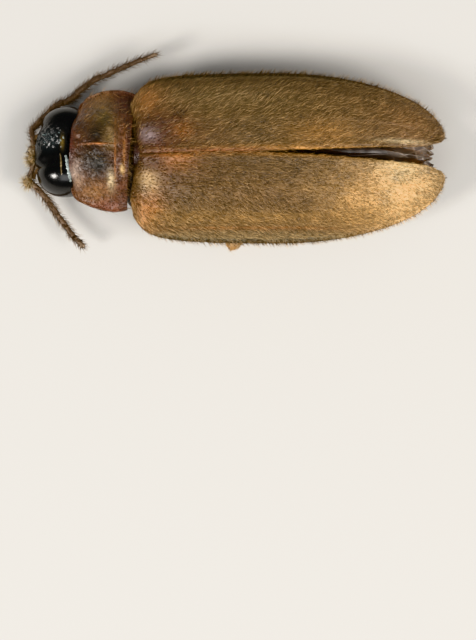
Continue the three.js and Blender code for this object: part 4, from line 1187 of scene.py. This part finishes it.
def makeAntennae():
    a = antennaLook
    for name in sides:
        feeler, title = a[name], f"antenna{name.title()}"
        scape = jointedLimb(
            title + "Scape", feeler["scape"], 1, a["scapeWidth"], limbShell,
            a["tones"], a["scapeNeck"], 1.0)
        dress(scape, limbShell, "antenna", f"antenna_{name}_scape")
        flagellum = jointedLimb(
            title + "Flagellum", feeler["flagellum"], feeler["joints"], feeler["width"], limbShell,
            a["tones"], a["flagellumNeck"], feeler["tip"])
        dress(flagellum, limbShell, "antenna", *feeler["nodes"])
        coatOver(title + "Setae", [scape, flagellum], darkSetae, "antenna", a["setae"], 51)
    # the left scape ends in two knuckles with pale brushes
    knuckles = []
    for index, (centre, radii) in enumerate(a["knuckles"]):
        rings = ballRings(centre, radii, 24, 16)
        outward = (rings - np.array(centre)).reshape(-1, 3) * [0.3, 0.3, 0] + [0, -0.1, 0.001]
        knuckles.append(furred(f"antennaLeftKnuckle{index + 1}", rings, a["knuckleGround"], lie=outward))
        dress(knuckles[-1], limbShell, "antenna")
    coatOver("antennaLeftBrushes", knuckles, paleSetae, "antenna", a["brushes"], 57)


makeAntennae()
print("feelers ready")

# Legs: the shins and feet lie on the floor, folded under the thighs

legLook = {
    "MiddleLeft": {
        "coxa": ((0.42, 4.42, 0.76), (0.32, 0.38, 0.3)),
        "femur": ((0.24, 4.4, 0.6), (1.12, 3.68, 0.64), (1.86, 3.1, 0.6)), "femurWidth": 0.66,
        "tibia": ((1.86, 3.1, 0.3), (1.48, 4.05, 0.22), (1.1, 4.97, 0.17)), "tibiaWidth": 0.32,
        "tarsus": ((1.12, 4.92, 0.16), (1.52, 5.3, 0.12), (1.58, 5.6, 0.1), (1.42, 6.0, 0.1))},
    "MiddleRight": {
        "coxa": ((-0.42, 4.42, 0.76), (0.32, 0.38, 0.3)),
        "femur": ((-0.24, 4.4, 0.6), (-1.02, 3.44, 0.64), (-1.64, 2.66, 0.6)), "femurWidth": 0.66,
        "tibia": ((-1.66, 2.64, 0.3), (-1.26, 3.7, 0.22), (-0.9, 4.69, 0.17)), "tibiaWidth": 0.32,
        "tarsus": ((-0.92, 4.64, 0.16), (-1.19, 5.08, 0.12), (-1.3, 5.42, 0.1), (-1.17, 5.84, 0.1))},
    "HindLeft": {
        "coxa": ((0.7, 6.24, 0.74), (0.68, 0.34, 0.28)),
        "femur": ((0.42, 6.22, 0.62), (1.5, 5.84, 0.7), (2.54, 5.52, 0.72)), "femurWidth": 0.56,
        "tibia": ((2.42, 5.56, 0.36), (1.57, 6.32, 0.22), (0.6, 7.02, 0.17)), "tibiaWidth": 0.36,
        "tarsus": ((0.64, 6.98, 0.16), (1.11, 7.46, 0.12), (1.32, 7.86, 0.1), (1.28, 8.48, 0.1))},
    "HindRight": {
        "coxa": ((-0.7, 6.24, 0.74), (0.68, 0.34, 0.28)),
        "femur": ((-0.42, 6.2, 0.62), (-1.5, 6.06, 0.7), (-2.5, 5.88, 0.7)), "femurWidth": 0.56,
        "tibia": ((-2.4, 5.9, 0.36), (-1.84, 6.88, 0.22), (-1.17, 7.82, 0.17)), "tibiaWidth": 0.36,
        "tarsus": ((-1.2, 7.78, 0.16), (-1.46, 8.42, 0.12), (-1.28, 8.98, 0.1), (-1.02, 9.52, 0.1))},
}
limbLook = {
    "coxa": "#94683e", "femur": "#a07a4a", "edge": "#d8b582", "tibia": "#ac8452", "claw": "#20140f",
    "tarsus": ((0.0, "#a08050"), (0.2, "#6c5238"), (0.35, "#3c2c22"), (1.0, "#2b1f1a")),
    "femurFlatness": 0.66, "tibiaFlatness": 0.8, "tibiaDeepest": 0.3, "footJoints": 5, "footWidth": 0.25,
    "footNeck": 0.42, "footTip": 0.75, "footFlatness": 0.7, "soleZ": (0.1, 0.16), "clawSpread": 24,
    "clawWidth": 0.07,
    "setae": {"hairs": (240, 0.19, 0.013), "lift": (15, 8), "stray": 14, "swirl": (12, 0.5), "curl": 0.25},
    "footSetae": {
        "hairs": (420, 0.12, 0.012), "lift": (30, 8), "stray": 20, "swirl": (10, 0.5), "curl": 0.2},
}


def bladeTube(name, route, width, height, tone, edge, seed):
    # a flattened limb part with a pale keel along each edge
    sideCount = 28
    rings = tubeRings(route, width, height, sideCount, 30)
    angle = 2 * np.pi * np.arange(sideCount) / sideCount
    keel = ridge(np.abs(np.sin(angle)), 0.0, 0.28)
    middle = rings.mean(axis=1, keepdims=True)
    swelling = 1 + 0.05 * keel[None, :, None] + 0.03 * wavyField(rings, 0.2, seed)[..., None]
    rings = middle + (rings - middle) * swelling
    part = furred(name, rings, tone)
    blendTone(part, 0.7 * np.tile(keel, len(rings)), edge)
    return part


def rounding(t, start, end):
    # closes a limb part to a round end over each given share of its length
    near = np.clip(1 - t / start, 0, 1) ** 2
    far = np.clip((t - 1 + end) / end, 0, 1) ** 2
    return np.sqrt(np.clip(1 - near, 0.01, 1) * np.clip(1 - far, 0.01, 1))


def makeClaws(name, foot, heading):
    turn = math.atan2(heading[1], heading[0])
    taper = lambda t: limbLook["clawWidth"] * (1 - 0.9 * t)
    claws = []
    for side in (-1, 1):
        a = turn + side * math.radians(limbLook["clawSpread"])
        reach = np.array([math.cos(a), math.sin(a), 0])
        route = [foot, foot + reach * 0.12 + [0, 0, 0.02], foot + reach * 0.22 - [0, 0, 0.05]]
        claw = wrapSkin(f"{name}{side}", tubeRings(route, taper, taper, 10, 10))
        paint(claw, limbLook["claw"], [])
        claws.append(claw)
    return dress(joined(claws, name), headShell, "tarsus")


def makeLeg(name, leg, seed):
    m = limbLook
    node = name.replace("Left", "_left").replace("Right", "_right").lower()
    rings = ballRings(*leg["coxa"], 40, 28)
    rings += 0.02 * wavyField(rings, 0.2, seed + 3)[..., None]
    coxa = furred(f"coxa{name}Shell", rings, m["coxa"], (), (0.9, 0.8))
    dress(coxa, bodyShell, "leg", f"coxa_{node}")
    bulge = lambda t: 0.6 + 0.4 * np.sin(np.pi * np.clip(0.12 + t * 0.84, 0, 1))
    thigh = lambda t: leg["femurWidth"] * bulge(t) * rounding(t, 0.16, 0.1)
    thighDeep = lambda t: thigh(t) * m["femurFlatness"]
    femur = bladeTube(f"femur{name}Shell", leg["femur"], thigh, thighDeep, m["femur"], m["edge"], seed)
    dress(femur, bodyShell, "leg", f"femur_{node}")
    shin = lambda t: leg["tibiaWidth"] * (0.72 + 0.3 * t) * rounding(t, 0.06, 0.07)
    shinDeep = lambda t: np.minimum(shin(t) * m["tibiaFlatness"], m["tibiaDeepest"])
    tibia = bladeTube(f"tibia{name}Shell", leg["tibia"], shin, shinDeep, m["tibia"], m["edge"], seed + 1)
    dress(tibia, bodyShell, "leg", f"tibia_{node}")
    tarsus = jointedLimb(
        f"tarsus{name}Joints", leg["tarsus"], m["footJoints"], m["footWidth"], limbShell,
        m["tarsus"], m["footNeck"], m["footTip"], m["footFlatness"])
    # the soles are bare, so that no bristle goes through the floor
    setAttribute(tarsus, "furDensity", "FLOAT", ease(bodyPoints(tarsus)[:, 2], *m["soleZ"]))
    dress(tarsus, limbShell, "tarsus", f"tarsus_{node}")
    foot = np.array(leg["tarsus"][-1])
    makeClaws(f"claws{name}", foot, foot - np.array(leg["tarsus"][-2]))
    coatOver(f"leg{name}Setae", [coxa, femur, tibia], bodySetae, "leg", m["setae"], seed)
    coatOver(f"foot{name}Setae", [tarsus], darkSetae, "tarsus", m["footSetae"], seed + 2)


for index, (name, leg) in enumerate(legLook.items()):
    makeLeg(name, leg, 60 + 5 * index)
print("legs ready")

# Abdomen: rings that telescope, each hind rim standing over the next

abdomenLook = {
    "base": {"startY": 6.24, "endY": 7.62, "rings": 4, "halfWidth": 1.68, "bottom": 0.74, "top": 1.6,
             "stepDown": 0.05},
    "setae": {"hairs": (150, 0.15, 0.01), "lift": (16, 8), "stray": 12, "swirl": (15, 0.6), "curl": 0.2},
    "notch": (0.14, 0.0, 0.35), "topFade": (1.1, 1.3), "topShare": 0.85,
    "bow": (0.16, 0.12, 0.08, 0.03), "baseGround": "#9a7446", "rimTone": "#d8b682", "topTone": "#3a2a20",
    "baseMarks": ((0, 7.4, 1.0, 0.2, "#b88c50", 0.6), (0, 6.6, 0.8, 0.3, "#7c5834", 0.6)),
    "sixth": ((7.5, 1.6, 0.72, 1.42), (8.3, 1.7, 0.66, 1.4), (8.78, 1.68, 0.7, 1.36)),
    "seventh": ((8.6, 1.36, 0.78, 1.32), (9.0, 1.42, 0.7, 1.3), (9.5, 1.3, 0.7, 1.26),
                (9.95, 1.04, 0.76, 1.18), (10.25, 0.62, 0.84, 1.1), (10.34, 0.3, 0.9, 1.04)),
    "organs": {
        6: ("#b5966c", ((8.78, 0.05, "#f2e2b8", 0.8), (7.62, 0.04, "#e8d09a", 0.6)),
            ((0.9, 8.1, 0.5, 0.4, "#a4825a", 0.6), (-0.4, 8.3, 0.5, 0.4, "#c4a484", 0.6),
             (0.2, 7.9, 0.4, 0.3, "#c8ab88", 0.5), (1.55, 8.1, 0.15, 0.6, "#d6c096", 0.7))),
        7: ("#cdb488", ((10.3, 0.1, "#f0e2be", 0.7),),
            # on the seventh, #ecdcae at (-0.2, 9.7) is a painted highlight
            ((0.6, 9.1, 0.7, 0.35, "#a98c62", 0.7), (-0.2, 9.7, 0.5, 0.4, "#ecdcae", 0.8),
             (-0.8, 9.2, 0.4, 0.4, "#b0966c", 0.6), (0, 8.85, 1.2, 0.1, "#b89c70", 0.6)))},
}
# light-organ cuticle: creamy and half clear, so light seems to come from inside
lightShell = shellFinish("translucent creamy light-organ cuticle", {
    "mottle": (0.35, 0.12), "pits": (0.05, 0.1, 0.008), "wrinkles": (0.06, 0.5),
    "roughness": 0.4, "coat": (0.1, 0.3), "glow": 0.25})


def paintRing(piece, ground, rims, marks):
    # a ring with tinted rims, darker towards the top
    paint(piece, ground, marks)
    points = bodyPoints(piece)
    for y, reach, code, strength in rims:
        blendTone(piece, strength * ridge(points[:, 1], y, reach), code)
    a = abdomenLook
    blendTone(piece, a["topShare"] * ease(points[:, 2], *a["topFade"]), a["topTone"])


def tucked(rings, share, drop):
    # the hind rim folds in under itself
    middle = rings[-1].mean(axis=0)
    return np.concatenate([rings, [middle + (rings[-1] - middle) * share - [0, drop, 0]]])


def makeAbdomen():
    a = abdomenLook
    b = a["base"]
    skins = []
    step = (b["endY"] - b["startY"]) / b["rings"]
    for i in range(b["rings"]):
        y = b["startY"] + step * i
        top = b["top"] - b["stepDown"] * i
        sections = [(at, b["halfWidth"] - lip, b["bottom"] + lip, top - lip)
                    for at, lip in ((y - 0.1, 0.05), (y + step * 0.5, 0.03), (y + step, 0))]
        rings = roundedLoft(sections, 56, 14)
        rings[..., 1] += a["bow"][i] * (np.abs(rings[..., 0]) / b["halfWidth"]) ** 2
        rings = tucked(rings, 0.94, 0.02)
        skin = wrapSkin(f"ventrite{i + 2}Shell", rings)
        paintRing(skin, a["baseGround"], [(y + step, 0.05, a["rimTone"], 0.8)], a["baseMarks"])
        growFur(skin, alongSkin(rings), 0.6, 0.5)
        dress(skin, bodyShell, "abdomen", *(["abdomen_base"] if i == 0 else []))
        skins.append(skin)
    sixth = roundedLoft(a["sixth"], 80, 40)
    x, y, z = np.moveaxis(sixth, -1, 0)
    depth, middle, width = a["notch"]
    y -= depth * ridge(x, middle, width) * ease(y, 8.3, 8.78) * (z < 1.0)
    for number, rings in ((6, tucked(sixth, 0.95, 0.03)), (7, roundedLoft(a["seventh"], 80, 50, 2.2))):
        skin = wrapSkin(f"lightOrgan{number}Shell", rings)
        paintRing(skin, *a["organs"][number])
        growFur(skin, alongSkin(rings), 0.5, 0.5)
        dress(skin, lightShell, f"light_organ_{number}", f"light_organ_{number}")
        skins.append(skin)
    coatOver("abdomenSetae", skins, bodySetae, "abdomen", a["setae"], 91)


makeAbdomen()
print("abdomen ready")

# Hind wings: thin smoky membranes, folded in a few broad pleats, with creased tips

wingLook = {
    "frontY": 5.2, "tipY": 11.22, "innerX": -0.1, "halfWidth": 1.05, "tipHalfWidth": 0.3, "frontZ": 1.98,
    "dropStart": 0.5, "tipDrop": 0.66, "raise": 0.4, "thickness": 0.03, "pleats": 2.6, "pleatDepth": 0.1,
    "columns": 130, "rows": 180, "creaseDepth": 0.08,
    "creases": ((1.5, 0.6, 0.2), (-1.9, 0.9, 0.4), (0.4, -1.2, 0.1)),
    "widening": 1.24, "tipJag": 0.2, "crumpledFrom": (9.7, 10.5), "outerFall": 0.16, "leftLower": 0.05,
    "ground": "#30251f", "foldLineAndFacetLightTone": "#a09082",
}
# smoky wing membrane: brown-grey foil with paler fold lines, whose flat facets are painted lighter or
# darker as painted light
wingMembrane = shellFinish("smoky creased wing membrane", {
    "mottle": (0.4, 0.35), "pits": (0.3, 0.15, 0.006), "wrinkles": (0.12, 0.8),
    "roughness": 0.4, "coat": (0.15, 0.2), "glow": 0.25})


def makeWing(name, side):
    w = wingLook
    u, v = np.meshgrid(np.linspace(0, 1, w["columns"]), np.linspace(0, 1, w["rows"]))
    s = 1 - (1 - v) ** 1.3
    slope = np.sqrt(np.clip(1 - past(s, 0.35, 1) ** 2, 0, None))
    widest = w["tipHalfWidth"] + (w["halfWidth"] - w["tipHalfWidth"]) * slope
    width = widest * (1 - 0.4 * np.exp(-s / 0.12)) * w["widening"]
    fold = u * w["pleats"] + 0.8 * s + 0.35 * (side > 0)
    pleat = np.abs((fold % 1) * 2 - 1)
    jag = w["tipJag"] * np.abs(((u * 2.2 + 0.3 * side) % 1) * 2 - 1) * ease(v, 0.88, 1.0)
    x = side * (w["innerX"] * ease(s, 0.3, 0.9) + 0.06 + width * u)
    y = w["frontY"] + (w["tipY"] - w["frontY"]) * s - jag
    # the folded tip breaks into flat facets, their edges running three ways
    crumpled = ease(y, *w["crumpledFrom"])
    creases = [np.abs(((x * a + y * b + side * c) % 1) * 2 - 1) for a, b, c in w["creases"]]
    # near the midline they lie close under the wing-cases
    raised = w["raise"] * ridge(x, 0.0, 0.45) * ease(s, 0.1, 0.3) * (1 - ease(s, 0.7, 0.92))
    z = w["frontZ"] + raised - w["tipDrop"] * past(s, w["dropStart"], 1) ** 1.3 \
        - w["outerFall"] * u ** 2 + w["pleatDepth"] * (pleat - 0.5) \
        - w["leftLower"] * (side > 0) * ease(s, 0.5, 0.8)
    for crease in creases:
        z += w["creaseDepth"] * crumpled * (crease - 0.5)
    grid = np.stack([x, y, z], axis=-1)
    skin, _ = plateSkin(f"hindWing{name.title()}Membrane", grid, np.full(u.shape, w["thickness"]), side)
    line = np.maximum(ease(pleat, 0.92, 1.0), crumpled * ease(np.max(creases, axis=0), 0.9, 1.0))
    # each facet is painted its own share of the pale tone, as painted light and shade on the facets
    facet = sum(k * np.floor(x * a + y * b + side * c) for k, (a, b, c) in enumerate(w["creases"], 1))
    paintedFacetLight = crumpled * (0.5 + 0.5 * np.sin(7.3 * facet))
    share = (np.clip(0.45 * line + 0.55 * paintedFacetLight, 0, 1) * ease(y, 8.5, 10.3)).ravel()
    paint(skin, w["ground"], [])
    blendTone(skin, np.concatenate([share, share]), w["foldLineAndFacetLightTone"])
    dress(skin, wingMembrane, "hind_wing", f"hind_wing_{name}")


for name, side in sides.items():
    makeWing(name, side)
print("wings ready")

# Studio

# each light is (name, azimuth, elevation, distance, size, power, colour), in degrees, metres and watts
studioLook = {
    "tilt": 6, "lens": 300, "sensor": 36, "imageCentre": (4.443, 5.730, 0.0), "frameHeight": 17.98,
    "subjectDepth": 1.0, "lightAim": (0, 5.8, 1.2), "floorSize": 0.4, "floorColour": "#cfcecb",
    "roomColour": "#f4f4f4", "roomLight": 0.35,
    "lights": (
        ("headLight", 152, 40, 0.09, 0.026, 0.06, "#fffaf4"),
        ("tailLight", 28, 45, 0.09, 0.05, 0.07, "#fff8f0"),
        ("sideLight", 90, 56, 0.11, 0.07, 0.035, "#ffffff")),
}


def makeCamera():
    look = studioLook
    data = bpy.data.cameras.new("photoCamera")
    data.lens, data.sensor_width = look["lens"], look["sensor"]
    camera = placed("photoCamera", data)
    tilt = math.radians(look["tilt"])
    back = Vector((math.sin(tilt), 0, math.cos(tilt)))
    distance = look["frameHeight"] * look["lens"] / data.sensor_width + look["subjectDepth"]
    camera.location = Vector(toFrame(look["imageCentre"])) + back * distance * mm
    up = Vector((-math.cos(tilt), 0, math.sin(tilt)))
    right = Vector((0, 1, 0))
    camera.rotation_mode = "QUATERNION"
    camera.rotation_quaternion = Matrix((right, up, back)).transposed().to_quaternion()
    data.clip_start, data.clip_end = 0.01, 5
    bpy.context.scene.camera = camera


def softLight(name, azimuth, elevation, distance, size, power, code):
    # a square softbox aimed at the body; azimuth 0 stands beyond the tail, 90 on the animal's left
    data = bpy.data.lights.new(name, "AREA")
    data.size, data.energy, data.color = size, power, linearColour(code)[:3]
    lamp = placed(name, data)
    a, e = math.radians(azimuth), math.radians(elevation)
    toward = Vector((math.sin(a) * math.cos(e), math.cos(a) * math.cos(e), math.sin(e)))
    middle = Vector(toFrame(studioLook["lightAim"]))
    lamp.location = middle + toward * distance
    lamp.rotation_mode = "QUATERNION"
    lamp.rotation_quaternion = toward.to_track_quat("Z", "Y")
    lamp.visible_camera = False


def makeStudio():
    look = studioLook
    half = look["floorSize"] / 2
    mesh = bpy.data.meshes.new("studioFloor")
    corners = [(x * half, y * half, 0) for x, y in ((-1, -1), (1, -1), (1, 1), (-1, 1))]
    mesh.from_pydata(corners, [], [(0, 1, 2, 3)])
    floor = placed("studioFloor", mesh)
    # matt pale paper: an even pale ground with a soft shadow
    material, tree, shader = newMaterial("matt pale paper")
    fillInputs(tree, shader, {"Base Color": linearColour(look["floorColour"]), "Roughness": 0.9})
    mesh.materials.append(material)
    world = bpy.data.worlds.new("softRoom")
    world.use_nodes = True
    room = {"Color": linearColour(look["roomColour"]), "Strength": look["roomLight"]}
    fillInputs(world.node_tree, world.node_tree.nodes["Background"], room)
    bpy.context.scene.world = world
    bpy.context.scene.view_settings.view_transform = "Khronos PBR Neutral"
    for light in look["lights"]:
        softLight(*light)


makeCamera()
makeStudio()
print("studio ready")
